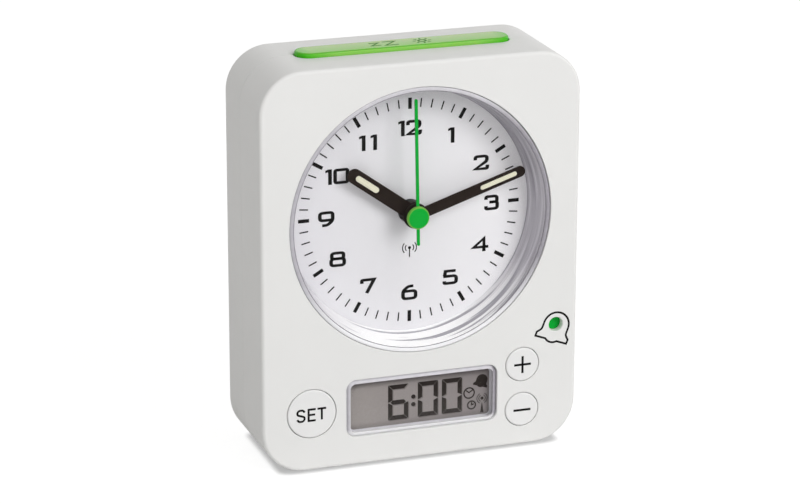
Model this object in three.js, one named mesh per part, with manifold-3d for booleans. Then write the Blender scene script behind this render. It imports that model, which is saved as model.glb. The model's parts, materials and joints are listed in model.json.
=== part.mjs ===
// Radio-controlled alarm clock: a round dial under a clear cup, a digital display below it,
// three push buttons on the front, an alarm slider in the right side and a light bar on top.
// Millimetres. x runs to the right, y from the front face to the back, z up from the table.

import * as THREE from "three";
import { mergeVertices } from "three/addons/utils/BufferGeometryUtils.js";
import Module from "manifold-3d";

const wasm = await Module();
wasm.setup();

// Clearances of pieces that slide, that sit still and that turn
const slip = 0.25;
const seat = 0.1;
const running = 0.08;

// How far joined solids run into each other, and cutters past a face
const overlap = 0.5;
const overrun = 1;

// Case
const caseWidth = 90;
const caseHeight = 111.4;
const caseDepth = 33;
const cornerRadius = 12;
const wall = 2;
const frontEdge = 1;
const rearEdge = 2.3;
const partingGap = 0.2;
const lipThickness = 1;
const lipHeight = 2.5;
const lipRoot = 2;
const lipClear = 0.15;

// Margins round the dial opening, and the panel below it
const topMargin = 7;
const sideMargin = 8;
const panelHeight = 30.4;

// Dial, clear cup and carrier
const dialThickness = 0.8;
const dialMargin = 0.5;
const cupInset = 0.3;
const cupThickness = 1.4;
const cupBevel = 0.6;
const cupLip = 0.95;
const cupLipStep = 0.3;
const cupStep = 0.4;
const cupWall = 0.5;
const cupDraft = 1.9;
const cupFlange = 1.6;
const cupFlangeThickness = 1.2;
const carrierThickness = 1.6;
const earRadius = 3;
const earAngle = THREE.MathUtils.degToRad(36);
const earRoot = 0.9;
const pegRadius = 1;
const pegProud = 0.5;
const clipThickness = 1.2;
const clipReach = 0.9;
const clipHalf = 4;

// Hands: levels are shares of the room between dial and cup, and a hand's tip stays a margin
// inside the opening; a glow strip lies a tip's length inside its hand
const hourLevel = 0.364;
const hourMargin = 14.5;
const hourWidth = 3.8;
const hourHub = 3.2;
const hourGlow = { tip: 1.9, length: 7.7, width: 1.5 };
const minuteLevel = 0.625;
const minuteMargin = 4.3;
const minuteWidth = 3;
const minuteHub = 3.5;
const minuteGlow = { tip: 1.3, length: 11.6, width: 1.3 };
const secondLevel = 0.807;
const secondMargin = 4.1;
const secondTail = 7.9;
const secondWidth = 0.85;
const bossLevel = 0.136;
const capBossLevel = 0.05;
const tubeLevel = 0.125;
const handThickness = 0.5;
const handSleeve = 1;
const capRadius = 3.1;
const capThickness = 1;
const capEdge = 0.3;
const capSleeve = 0.6;
const shownHours = 10;
const shownMinutes = 12;
const shownSeconds = 59.8;

// Clockwork
const workCorner = 3;
const workPlate = 1.5;
const workGap = 0.75;
const wheelPlanes = 6;
const wheelThickness = 0.8;
const wheelPitch = 1.2;
const wheelClear = 0.3;
const wheelEnd = 0.5;
const arborRadius = 0.4;
const spacerRadius = 0.75;
const pivotDepth = 0.7;
const secondArbor = 0.5;
const minutePipe = 1.25;
const hourPipe = 2.1;
const pipeRecess = 0.1;
const tubeRadius = 3.2;
const trainDistance = 9.8;
const trainAngle = THREE.MathUtils.degToRad(35);
const rotorDistance = 7.2;
const motionDistance = 10;
const wheelTeeth = 36;
const thirdTeeth = 30;
const leafTeeth = 6;
const cannonTeeth = 8;
const motionTeeth = 24;
const motionLeaves = 6;
const hourTeeth = 24;

// Teeth: height above and below the pitch circle in moduli, half widths in shares of a step
const addendum = 0.8;
const dedendum = 1.1;
const toothRoot = 0.29;
const toothTip = 0.11;

// The two step motors
const magnetRadius = 1.9;
const magnetLength = 1.5;
const magnetClear = 0.2;
const statorThickness = 0.8;
const statorRing = 4;
const statorAir = 0.5;
const statorArm = 3;
const statorLeg = 1.5;
const statorPost = 0.8;
const coilLength = 16;
const coilRadius = 2.9;
const coilHeight = 17.5;
const coilFlange = 0.8;
const coilWaist = 0.5;
const coilClear = 0.3;
const coilOffset = 0.6;

// Display and buttons on the front
const displayZ = 16.2;
const displayHeight = 16.4;
const displayLeftGap = 2.3;
const displayRightGap = 1.73;
const displayCorner = 2.8;
const windowInset = 0.2;
const windowBevel = 1.1;
const windowFlange = 0.9;
const windowFlangeThickness = 0.6;
const glassMargin = 0.3;
const glassRim = 1;
const glassThickness = 1.1;
const glassLedge = 3;
const glassFrameWall = 1;
const glassFrameDepth = 4;
const guideMargin = 1.5;
const stripMargin = 2;
const stripClear = 0.3;
const setInset = 13.8;
const setZ = 16.3;
const setRadius = 6.75;
const stepInset = 15.72;
const plusZ = 23.4;
const minusZ = 10.3;
const stepRadius = 4.7;
const buttonProud = 0.2;
const buttonEdge = 0.4;
const buttonFlange = 0.8;
const buttonFlangeThickness = 1;
const buttonGap = 0.3;
const buttonTravel = 0.8;
const plungerRadius = 1.8;

// Main board and what it carries
const boardDepth = 8.8;
const boardThickness = 1.5;
const boardLow = 4;
const boardHigh = 30;
const boardLeftGap = 6;
const boardRightGap = 2.4;
const boardBossGap = 0.8;
const boardNotchHalf = 14;
const boardPostX = 18;
const boardPostRadius = 2.2;
const boardPostGap = 0.4;
const switchSize = 6;
const switchHeight = 3.3;
const stemRadius = 1.6;
const stemHeight = 0.4;
const chip = { x: 8, z: 17, radius: 6, height: 1.1 };
const crystal = { inset: 5, z: 22, radius: 1, length: 6, edge: 0.3 };
const lamp = { z: 26.4, width: 3.2, depth: 1.8, foot: 1.5, lens: 0.8, edge: 0.3 };

// Alarm slider
const flagInset = 6;
const flagZ = 33.9;
const flagHole = 2;
const flagMargin = 0.5;
const flagThickness = 1;
const sliderTravel = 5;
const sliderDepth = 9;
const sliderThickness = 1.3;
const carriageHalf = 4;
const knobHeight = 8;
const knobWidth = 3.6;
const knobProud = 0.6;
const knobCorner = 0.7;
const grooveDepth = 0.4;
const grooveWidth = 0.8;
const groovePitch = 2;
const railReach = 2;
const railThickness = 1.2;
const railGap = 0.65;
const railBelow = 14;
const railAbove = 10;
const brushReach = 4;
const brushHeight = 3;

// Light bar on top
const barInset = 15;
const barWidth = 8;
const barProud = 1.2;
const barEdge = 0.6;
const barEnd = 3.8;
const barTravel = 1.2;
const barGap = 0.2;
const barFlange = 1.4;
const barFlangeThickness = 1.3;
const barWellSide = 3;
const barWellDepth = 4;
const snoozeStem = 1.8;
const snoozeGap = 0.5;
const snoozeBoardLength = 26;
const snoozeBoardMargin = 0.2;
const snoozeBoardThickness = 1.2;
const snoozeBoardCorner = 0.5;

// Batteries, their bay and its door
const cellRadius = 7.1;
const cellLength = 50;
const cellEdge = 0.5;
const cellNub = 1.5;
const cellNubRadius = 2.75;
const cellSpacing = 15.6;
const cellLowZ = 13.9;
const cellGap = 0.3;
const bayWall = 2.2;
const bayFloor = 1.3;
const contactSpace = 3.4;
const contactSheet = 0.4;
const contactHalf = 5;
const contactRise = 4;
const contactCrest = 0.8;
const doorLedge = 1.2;
const hookX = 20;
const hookWidth = 5;
const hookReach = 2.5;
const hookThickness = 1.3;
const hookRoom = 1.1;
const tongueHalf = 5;
const tongueLength = 9;
const tongueSlit = 0.7;
const thumbDepth = 0.8;
const thumbFloor = 2.4;
const thumbRadius = 3.1;

// Screws
const screwRadius = 0.85;
const screwPoint = 0.8;
const screwHead = 2.2;
const screwHeadHeight = 1.3;
const screwHeadEdge = 0.5;
const screwHole = 2;
const caseBoss = 2.8;
const caseScrewInset = 7;
const caseScrewTip = 9;
const counterbore = 5;
const dialScrewLength = 7;

// Aerial and buzzer
const rodRadius = 3.4;
const rodLength = 56;
const windingRadius = 4.3;
const windingLength = 24;
const aerialGap = 0.4;
const aerialTop = 0.65;
const cradleX = 22;
const cradleDrop = 6;
const ribThickness = 2;
const shelfX = 10;
const shelfDrop = 3;
const buzzerAbove = 4.6;
const buzzerRadius = 11;
const buzzerHeight = 4;
const buzzerEdge = 0.6;
const buzzerHole = 2;
const buzzerHoleDepth = 1.5;
const buzzerWall = 1.5;
const soundSlots = 5;
const soundPitch = 3;
const soundWidth = 1.4;
const soundMargin = 3;

// Sides of round solids
const fine = 32;
const round = 16;
const medium = 12;
const coarse = 8;
const tiny = 6;

// Worked-out places on the case
const innerFront = wall;
const innerBack = caseDepth - wall;
const innerTop = caseHeight - wall;
const innerSide = caseWidth / 2 - wall;
const rootDepth = innerFront - overlap;
const railFront = sliderDepth + carriageHalf + slip;
const frontDepth = railFront + railThickness + railGap + lipHeight;
const shellBack = frontDepth - partingGap / 2;
const coverFront = frontDepth + partingGap / 2;
const caseScrews = [-1, 1].flatMap((right) =>
  [caseScrewInset, caseHeight - caseScrewInset].map((z) => ({
    x: right * (caseWidth / 2 - caseScrewInset),
    z,
  })),
);

// The dial opening fills the smaller of the rooms that the case's width and height leave.
// The dial and its carrier lie just before the switch under the light bar, at mid-depth.
const widthRoom = caseWidth / 2 - sideMargin;
const heightRoom = (caseHeight - topMargin - panelHeight) / 2;
const openingRadius = Math.min(widthRoom, heightRoom);
const dialHeight = caseHeight - topMargin - openingRadius;
const carrierStack = dialThickness + seat + carrierThickness;
const dialDepth = caseDepth / 2 - switchSize / 2 - snoozeGap - carrierStack;

// Worked-out places behind the dial
const cupRadius = openingRadius - slip;
const cupSkirt = cupRadius - cupStep;
const carrierRadius = openingRadius + cupFlange;
const carrierFront = dialDepth + dialThickness + seat;
const carrierBack = carrierFront + carrierThickness;
const workFront = carrierBack + seat;
const wheelSpace = workFront + workPlate;
const workInside = wheelSpace + wheelClear + wheelPlanes * wheelPitch + wheelEnd;
const workBack = workInside + workPlate;
const handRoom = dialDepth - cupInset - cupThickness;
const hourHeight = hourLevel * handRoom;
const minuteHeight = minuteLevel * handRoom;
const secondHeight = secondLevel * handRoom;
const handBoss = bossLevel * handRoom;
const capBoss = capBossLevel * handRoom;
const tubeHeight = tubeLevel * handRoom;
const hourLength = openingRadius - hourMargin;
const minuteLength = openingRadius - minuteMargin;
const secondLength = openingRadius - secondMargin;
const hourTurn = ((shownHours + shownMinutes / 60) / 12) * 2 * Math.PI;
const minuteTurn = (shownMinutes / 60) * 2 * Math.PI;
const secondTurn = (shownSeconds / 60) * 2 * Math.PI;
const earDistance = carrierRadius + slip + earRadius;
const ears = [-1, 1].flatMap((right) =>
  [-1, 1].map((up) => ({
    pegged: right === up,
    x: right * earDistance * Math.cos(earAngle),
    z: up * earDistance * Math.sin(earAngle),
  })),
);
const peggedEars = ears.filter(({ pegged }) => pegged);
const screwedEars = ears.filter(({ pegged }) => !pegged);

// Worked-out places of the display, the buttons and the board
const setButton = { x: setInset - caseWidth / 2, z: setZ, radius: setRadius };
const plusButton = { x: caseWidth / 2 - stepInset, z: plusZ, radius: stepRadius };
const minusButton = { x: caseWidth / 2 - stepInset, z: minusZ, radius: stepRadius };
const displayLeft = setButton.x + setRadius + buttonFlange + displayLeftGap;
const displayRight = plusButton.x - stepRadius - buttonFlange - displayRightGap;
const displayX = (displayLeft + displayRight) / 2;
const displayWidth = displayRight - displayLeft;
const glassWidth = displayWidth + 2 * glassMargin;
const glassHeight = displayHeight + 2 * glassRim;
const glassFront = innerFront + seat + windowFlangeThickness + seat;
const boardBack = boardDepth + boardThickness + seat;
const boardPostZ = displayZ + glassHeight / 2 + boardPostRadius + boardPostGap;
const boardPosts = [-boardPostX, boardPostX].map((x) => ({ x, z: boardPostZ }));
const boardLeft = boardLeftGap - innerSide;
const boardRight = innerSide - boardRightGap;
const boardNotchZ = panelHeight - cupFlange - 2 * slip;

// Worked-out places of the slider, the light bar, the bay, the aerial and the buzzer
const flagX = caseWidth / 2 - flagInset;
const sliderSide = innerSide - slip;
const barLength = caseWidth - 2 * barInset;
const barDepth = caseDepth / 2;
const barBottom = innerTop - barGap - barFlangeThickness;
const snoozeStemTop = barBottom - barTravel - seat;
const snoozeBoardTop = snoozeStemTop - snoozeStem - switchHeight - seat;
const shelfZ = snoozeBoardTop - snoozeBoardThickness - seat;
const shelfFront = workFront + 1;
const cellHighZ = cellLowZ + cellSpacing;
const cellDepth = innerBack - cellRadius - cellGap;
const bayHalf = cellLength / 2 + contactSpace;
const bayBottom = cellLowZ - cellRadius - cellGap;
const bayTop = cellHighZ + cellRadius + cellGap;
const bayFront = cellDepth - cellRadius - cellGap;
const doorHalf = bayHalf + doorLedge;
const doorBottom = bayBottom - doorLedge;
const doorTop = bayTop + doorLedge;
const hookBack = innerBack - 2 * seat;
const hookFront = hookBack - hookThickness;
const aerialDepth = innerBack - windingRadius - aerialGap;
const aerialZ = innerTop - windingRadius - aerialTop;
const buzzerZ = dialHeight + buzzerAbove;

// Solid helpers
function solid(geometry) {
  geometry.deleteAttribute("normal");
  geometry.deleteAttribute("uv");
  const merged = mergeVertices(geometry, 1e-4);
  const index = merged.index.array;
  const triangles = [];
  for (let i = 0; i < index.length; i += 3) {
    const [a, b, c] = [index[i], index[i + 1], index[i + 2]];
    if (a !== b && b !== c && c !== a) {
      triangles.push(a, b, c);
    }
  }
  const mesh = new wasm.Mesh({
    numProp: 3,
    vertProperties: merged.attributes.position.array,
    triVerts: new Uint32Array(triangles),
  });
  return new wasm.Manifold(mesh);
}

function roundedRect(width, height, radius, x = 0, z = 0) {
  const shape = new THREE.Shape();
  const [w, h] = [width / 2 - radius, height / 2 - radius];
  shape.absarc(x + w, z - h, radius, -Math.PI / 2, 0);
  shape.absarc(x + w, z + h, radius, 0, Math.PI / 2);
  shape.absarc(x - w, z + h, radius, Math.PI / 2, Math.PI);
  shape.absarc(x - w, z - h, radius, Math.PI, 1.5 * Math.PI);
  return shape;
}

function polygon(points) {
  return new THREE.Shape(points.map(([x, z]) => new THREE.Vector2(x, z)));
}

function extruded(shape, length, edge, arcSteps, edgeSteps) {
  const geometry = new THREE.ExtrudeGeometry(shape, {
    depth: length - 2 * edge,
    curveSegments: arcSteps,
    bevelEnabled: edge > 0,
    bevelThickness: edge,
    bevelSize: edge,
    bevelOffset: -edge,
    bevelSegments: edgeSteps,
  });
  return geometry.translate(0, 0, edge);
}

// A front-view shape, run from depth y0 to depth y1.
function slab(shape, y0, y1, edge = 0, arcSteps = 2, edgeSteps = 2) {
  const geometry = extruded(shape, y1 - y0, edge, arcSteps, edgeSteps);
  return solid(geometry.rotateX(Math.PI / 2).translate(0, y1, 0));
}

// A top-view shape, run from height z0 to height z1.
function column(shape, z0, z1, edge = 0, arcSteps = 3, edgeSteps = 2) {
  return solid(extruded(shape, z1 - z0, edge, arcSteps, edgeSteps).translate(0, 0, z0));
}

function box(x0, x1, y0, y1, z0, z1) {
  const geometry = new THREE.BoxGeometry(x1 - x0, y1 - y0, z1 - z0);
  return solid(geometry.translate((x0 + x1) / 2, (y0 + y1) / 2, (z0 + z1) / 2));
}

// A box on the left (-1) or right (1) side, between two distances from the middle.
function sideBox(side, near, far, y0, y1, z0, z1) {
  const [x0, x1] = side > 0 ? [near, far] : [-far, -near];
  return box(x0, x1, y0, y1, z0, z1);
}

function rod(radius, y0, y1, x = 0, z = 0, sides = coarse) {
  const geometry = new THREE.CylinderGeometry(radius, radius, y1 - y0, sides);
  return solid(geometry.translate(x, (y0 + y1) / 2, z));
}

// A round cutter whose flats stay clear of a shaft of this radius.
function bore(radius, y0, y1, x = 0, z = 0, sides = coarse) {
  return rod(radius / Math.cos(Math.PI / sides), y0, y1, x, z, sides);
}

// A solid of revolution about a line along y, from points of radius and depth.
function turned(points, x = 0, z = 0, sides = medium) {
  const profile = points.map(([radius, y]) => new THREE.Vector2(radius, y));
  return solid(new THREE.LatheGeometry(profile, sides).translate(x, 0, z));
}

// A solid of revolution about a line along x, from points of radius and x.
function lying(points, y, z, sides = medium) {
  const profile = points.map(([radius, x]) => new THREE.Vector2(radius, x));
  return solid(new THREE.LatheGeometry(profile, sides).rotateZ(-Math.PI / 2).translate(0, y, z));
}

function lyingRod(radius, x0, x1, y, z) {
  const points = [
    [0, x0],
    [radius, x0],
    [radius, x1],
    [0, x1],
  ];
  return lying(points, y, z);
}

function joined(first, ...others) {
  return others.reduce((sum, other) => sum.add(other), first);
}

function cut(first, ...others) {
  return others.reduce((rest, other) => rest.subtract(other), first);
}

// A flat strip with round ends between two points of the front view.
function strip(from, to, width, y0, y1) {
  const radius = width / 2;
  const angle = Math.atan2(to.z - from.z, to.x - from.x);
  const shape = new THREE.Shape();
  shape.absarc(to.x, to.z, radius, angle - Math.PI / 2, angle + Math.PI / 2);
  shape.absarc(from.x, from.z, radius, angle + Math.PI / 2, angle + 1.5 * Math.PI);
  return slab(shape, y0, y1, 0, 3);
}

// A toothed wheel with straight-sided teeth; one tooth points along the angle given.
function gear(teeth, pitchRadius, towards, y0, y1, x = 0, z = 0) {
  const modulus = (2 * pitchRadius) / teeth;
  const step = (2 * Math.PI) / teeth;
  const root = pitchRadius - dedendum * modulus;
  const tip = pitchRadius + addendum * modulus;
  const corners = [
    [root, -toothRoot],
    [tip, -toothTip],
    [tip, toothTip],
    [root, toothRoot],
  ];
  const points = [];
  for (let tooth = 0; tooth < teeth; tooth += 1) {
    for (const [radius, share] of corners) {
      const angle = towards + (tooth + share) * step;
      points.push([x + radius * Math.cos(angle), z + radius * Math.sin(angle)]);
    }
  }
  return slab(polygon(points), y0, y1);
}

// The direction that sets a wheel's gap, not its tooth, against its partner.
function gapTowards(angle, teeth) {
  return angle + Math.PI + Math.PI / teeth;
}

function angleTo({ x, z }) {
  return Math.atan2(z, x);
}

function add(group, name, body, look) {
  const mesh = body.getMesh();
  const geometry = new THREE.BufferGeometry();
  geometry.setAttribute("position", new THREE.BufferAttribute(mesh.vertProperties, 3));
  geometry.setIndex(new THREE.BufferAttribute(mesh.triVerts, 1));
  geometry.computeVertexNormals();
  const part = new THREE.Mesh(geometry, new THREE.MeshStandardMaterial(look));
  part.name = name;
  group.add(part);
  return part;
}

// Looks
const whitePlastic = { color: 0xe6e5e2, roughness: 0.42, metalness: 0 };
const dialWhite = { color: 0xeceaf0, roughness: 0.6, metalness: 0 };
const clearPlastic = { color: 0xf4f4f8, roughness: 0.06, metalness: 0, transparent: true, opacity: 0.35 };
const greenPlastic = { color: 0x0fae34, roughness: 0.35, metalness: 0 };
const limePlastic = { color: 0x6fd82a, roughness: 0.25, metalness: 0 };
const handBlack = { color: 0x2c2622, roughness: 0.5, metalness: 0 };
const glowCream = { color: 0xe9e6cb, roughness: 0.6, metalness: 0 };
const naturalPlastic = { color: 0xd8d4c8, roughness: 0.5, metalness: 0 };
const blackPlastic = { color: 0x232325, roughness: 0.5, metalness: 0 };
const wheelPlastic = { color: 0xc9c2a8, roughness: 0.45, metalness: 0 };
const steel = { color: 0xb4b6b8, roughness: 0.35, metalness: 1 };
const brass = { color: 0xc9a75a, roughness: 0.35, metalness: 1 };
const copper = { color: 0xb06a3a, roughness: 0.4, metalness: 1 };
const ferrite = { color: 0x3b3a3c, roughness: 0.7, metalness: 0 };
const boardGreen = { color: 0x2f6b45, roughness: 0.55, metalness: 0 };
const displayGrey = { color: 0x98938f, roughness: 0.2, metalness: 0 };
const rubberGrey = { color: 0x77777c, roughness: 0.8, metalness: 0 };
const cellGrey = { color: 0x8c8f94, roughness: 0.35, metalness: 0.6 };

// The case outline, drawn in by an inset.
function outline(inset) {
  const [width, height] = [caseWidth - 2 * inset, caseHeight - 2 * inset];
  return roundedRect(width, height, cornerRadius - inset, 0, caseHeight / 2);
}

// The part of the case's space between two depths.
function caseSlice(y0, y1) {
  return box(-caseWidth, caseWidth, y0, y1, -overrun, caseHeight + overrun);
}

function barSlot() {
  const [length, width] = [barLength + 2 * slip, barWidth + 2 * slip];
  const slot = roundedRect(length, width, barWidth / 2, 0, barDepth);
  return column(slot, innerTop - overrun, caseHeight + overrun);
}

function glassFrame() {
  const [width, height] = [glassWidth + 2 * slip, glassHeight + 2 * slip];
  const [wide, high] = [width + 2 * glassFrameWall, height + 2 * glassFrameWall];
  const outer = roundedRect(wide, high, glassFrameWall, displayX, displayZ);
  const inner = roundedRect(width, height, slip, displayX, displayZ);
  const back = innerFront + glassFrameDepth;
  return slab(outer, rootDepth, back, 0, 1).subtract(
    slab(inner, rootDepth - overrun, back + overrun, 0, 1),
  );
}

function sliderRail() {
  const [low, high] = [flagZ - railBelow, flagZ + railAbove];
  const [inside, back] = [innerSide - railReach, railFront + railThickness];
  return box(inside, innerSide + overlap, railFront, back, low, high);
}

function sliderSlot() {
  const half = knobWidth / 2 + slip;
  const low = flagZ - knobHeight / 2 - sliderTravel - slip;
  const high = flagZ + knobHeight / 2 + slip;
  return box(innerSide - overlap, caseWidth, sliderDepth - half, sliderDepth + half, low, high);
}

function frontHoles() {
  const through = innerFront + overrun;
  const displayHole = roundedRect(displayWidth, displayHeight, displayCorner, displayX, displayZ);
  const buttonHoles = [setButton, plusButton, minusButton].map(({ x, z, radius }) =>
    bore(radius + slip, -overrun, through, x, z, round),
  );
  return joined(
    rod(openingRadius, -overrun, innerFront + overlap, 0, dialHeight, fine),
    slab(displayHole, -overrun, innerFront + overlap, 0, 3),
    ...buttonHoles,
    bore(flagHole, -overrun, through, flagX, flagZ, medium),
  );
}

function frontShell() {
  const outer = slab(outline(0), 0, caseDepth, frontEdge, 4);
  const hollow = slab(outline(wall), innerFront, caseDepth, 0, 3);
  const bosses = caseScrews.map(({ x, z }) => rod(caseBoss, rootDepth, shellBack, x, z));
  const earPosts = ears.map(({ x, z }) =>
    rod(earRadius, rootDepth, carrierFront - seat, x, z + dialHeight),
  );
  const earPegs = peggedEars.map(({ x, z }) =>
    rod(pegRadius, carrierFront - overlap, carrierBack + pegProud, x, z + dialHeight, tiny),
  );
  const stakes = boardPosts.flatMap(({ x, z }) => [
    rod(boardPostRadius, rootDepth, boardDepth - seat, x, z),
    rod(pegRadius, boardDepth - overlap, boardBack + pegProud, x, z, tiny),
  ]);
  const shell = outer.intersect(caseSlice(-overrun, shellBack)).subtract(hollow);
  const pilot = screwRadius + seat;
  const caseHoles = caseScrews.map(({ x, z }) =>
    bore(pilot, caseScrewTip - screwHole, caseDepth, x, z, tiny),
  );
  const earHoleFront = carrierBack - dialScrewLength - screwHole;
  const earHoles = screwedEars.map(({ x, z }) =>
    bore(pilot, earHoleFront, carrierFront, x, z + dialHeight, tiny),
  );
  return cut(
    joined(shell, ...bosses, ...earPosts, ...earPegs, ...stakes, glassFrame(), sliderRail()),
    frontHoles(),
    barSlot(),
    sliderSlot(),
    ...caseHoles,
    ...earHoles,
  );
}

// The rim of the rear cover that reaches into the front shell, open at the bar and the bosses.
function coverLip() {
  const outerInset = wall + lipClear;
  const inside = slab(outline(outerInset + lipThickness), 0, caseDepth, 0, 3);
  const tongue = slab(outline(outerInset), frontDepth - lipHeight, coverFront + overlap, 0, 3);
  const root = slab(outline(wall - overlap), coverFront, coverFront + lipRoot, 0, 3);
  const barHalf = barLength / 2 + barWellSide;
  const barGapBox = box(-barHalf, barHalf, 0, innerBack, innerTop - barWellDepth, caseHeight);
  const bossGaps = caseScrews.map(({ x, z }) => bore(caseBoss + slip, 0, coverFront, x, z));
  return cut(joined(tongue, root), inside, barGapBox, ...bossGaps);
}

function aerialCradle(x) {
  const half = ribThickness / 2;
  const front = aerialDepth - rodRadius - bayFloor;
  const rib = box(x - half, x + half, front, innerBack + overlap, aerialZ - cradleDrop, aerialZ);
  return rib.subtract(lyingRod(rodRadius + seat, -rodLength, rodLength, aerialDepth, aerialZ));
}

function boardShelf(x) {
  const half = ribThickness / 2;
  return box(x - half, x + half, shelfFront, innerBack + overlap, shelfZ - shelfDrop, shelfZ);
}

function buzzerRing() {
  const front = innerBack - buzzerHeight;
  const ring = rod(buzzerRadius + buzzerWall, front, innerBack + overlap, 0, buzzerZ, medium);
  return ring.subtract(bore(buzzerRadius + seat, 0, innerBack, 0, buzzerZ, medium));
}

function soundSlot(index) {
  const step = (index - (soundSlots - 1) / 2) * soundPitch;
  const half = Math.sqrt((buzzerRadius - soundMargin) ** 2 - step ** 2);
  const shape = roundedRect(2 * half, soundWidth, soundWidth / 2 - seat, 0, buzzerZ + step);
  return slab(shape, innerBack - overlap, caseDepth + overrun, 0, 1);
}

function hookPocket(x) {
  const half = hookWidth / 2 + slip;
  const low = doorBottom - hookReach - slip;
  return box(x - half, x + half, hookFront - hookRoom, innerBack, low, bayBottom + overrun);
}

function rearCover() {
  const outer = slab(outline(0), 0, caseDepth, rearEdge, 4, 3);
  const hollow = slab(outline(wall), 0, innerBack, 0, 3);
  const sleeves = caseScrews.map(({ x, z }) => rod(caseBoss, coverFront, innerBack + overlap, x, z));
  const bayOuter = box(
    -bayHalf - bayWall,
    bayHalf + bayWall,
    bayFront - bayFloor,
    innerBack + overlap,
    bayBottom - bayWall,
    bayTop + bayWall,
  );
  const cover = joined(
    outer.intersect(caseSlice(coverFront, caseDepth + overrun)).subtract(hollow),
    coverLip(),
    ...sleeves,
    bayOuter,
    ...[-cradleX, cradleX].map(aerialCradle),
    ...[-shelfX, shelfX].map(boardShelf),
    buzzerRing(),
  );
  const behind = caseDepth + overrun;
  const headSeat = caseDepth - counterbore;
  return cut(
    cover,
    box(-bayHalf, bayHalf, bayFront, behind, bayBottom, bayTop),
    box(-doorHalf, doorHalf, innerBack - seat, behind, doorBottom, doorTop),
    ...[-hookX, hookX].map(hookPocket),
    barSlot(),
    ...Array.from({ length: soundSlots }, (_, index) => soundSlot(index)),
    ...caseScrews.map(({ x, z }) => bore(screwRadius + slip, 0, caseDepth, x, z, tiny)),
    ...caseScrews.map(({ x, z }) => bore(screwHead + slip, headSeat, behind, x, z)),
  );
}

function doorHook(x) {
  const [left, right] = [x - hookWidth / 2, x + hookWidth / 2];
  const [low, high] = [doorBottom + slip, bayBottom + overlap];
  return joined(
    box(left, right, hookFront, innerBack + overlap, low, high),
    box(left, right, hookFront, hookBack, doorBottom - hookReach, high),
  );
}

function batteryDoor() {
  const half = doorHalf - slip;
  const panel = box(-half, half, innerBack, caseDepth, doorBottom + slip, doorTop - slip);
  const slitLow = doorTop - tongueLength;
  const slits = [-1, 1].map((side) => {
    const far = tongueHalf + tongueSlit;
    return sideBox(side, tongueHalf, far, innerBack - overrun, caseDepth + overrun, slitLow, doorTop);
  });
  const floor = caseDepth - thumbDepth;
  const thumb = [
    [0, floor],
    [thumbFloor, floor],
    [thumbRadius, caseDepth + seat],
    [0, caseDepth + seat],
  ];
  return cut(
    joined(panel, doorHook(-hookX), doorHook(hookX)),
    ...slits,
    turned(thumb, 0, doorTop - tongueLength / 2),
  );
}

function snoozeBar() {
  const flangeTop = barBottom + barFlangeThickness;
  const shape = roundedRect(barLength, barWidth, barEnd, 0, barDepth);
  const top = column(shape, flangeTop - overrun, caseHeight + barProud, barEdge, 4);
  const [length, width] = [barLength + 2 * barFlange, barWidth + 2 * barFlange];
  const flange = roundedRect(length, width, barFlange, 0, barDepth);
  return top.add(column(flange, barBottom, flangeTop, 0, 2));
}

function pushButton({ x, z, radius }) {
  const face = -buttonProud;
  const flangeFront = innerFront + buttonGap;
  const flangeBack = flangeFront + buttonFlangeThickness;
  const stemFront = boardDepth - seat - switchHeight - stemHeight;
  const plunger = stemFront - buttonTravel - seat;
  const points = [
    [0, face],
    [radius - buttonEdge, face],
    [radius, face + buttonEdge],
    [radius, flangeFront],
    [radius + buttonFlange, flangeFront],
    [radius + buttonFlange, flangeBack],
    [plungerRadius, flangeBack],
    [plungerRadius, plunger],
    [0, plunger],
  ];
  return turned(points, x, z, round);
}

function pushSwitch({ x, z }) {
  const half = switchSize / 2;
  const back = boardDepth - seat;
  const front = back - switchHeight;
  const body = box(x - half, x + half, front, back, z - half, z + half);
  return body.add(rod(stemRadius, front - stemHeight, front + overlap, x, z));
}

function dialCup() {
  const lip = cupRadius - cupLip;
  const pane = cupInset + cupLipStep;
  const inner = cupInset + cupThickness;
  const back = dialDepth - seat;
  const flange = innerFront + seat;
  const flangeBack = flange + cupFlangeThickness;
  const points = [
    [0, pane],
    [lip, pane],
    [lip, cupInset],
    [cupRadius - cupBevel, cupInset],
    [cupRadius, cupInset + cupBevel],
    [cupRadius, flange],
    [carrierRadius, flange],
    [carrierRadius, flangeBack],
    [cupSkirt, flangeBack],
    [cupSkirt, back],
    [cupSkirt - cupWall - cupDraft, back],
    [cupSkirt - cupWall, inner],
    [0, inner],
  ];
  return turned(points, 0, 0, fine);
}

function tubeHole(y0, y1) {
  return bore(tubeRadius + seat, y0, y1, 0, 0, medium);
}

function dialPlate() {
  const back = dialDepth + dialThickness;
  const disc = rod(carrierRadius - dialMargin, dialDepth, back, 0, 0, fine);
  return disc.subtract(tubeHole(dialDepth - overrun, back + overrun));
}

function carrierClip(side) {
  const near = workHalf + slip;
  const far = near + clipThickness;
  const hook = workBack + slip;
  const end = hook + clipThickness;
  return joined(
    sideBox(side, near, far, carrierBack - overlap, end, -clipHalf, clipHalf),
    sideBox(side, near - clipReach, far, hook, end, -clipHalf, clipHalf),
  );
}

function dialCarrier() {
  const disc = rod(carrierRadius, carrierFront, carrierBack, 0, 0, round);
  const lobes = ears.map(({ x, z }) =>
    strip({ x: earRoot * x, z: earRoot * z }, { x, z }, 2 * earRadius, carrierFront, carrierBack),
  );
  const [before, behind] = [carrierFront - overrun, carrierBack + overrun];
  const holes = ears.map(({ x, z }) => bore(pegRadius + seat, before, behind, x, z, tiny));
  return cut(
    joined(disc, ...lobes, carrierClip(-1), carrierClip(1)),
    ...holes,
    tubeHole(before, behind),
  );
}

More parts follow.
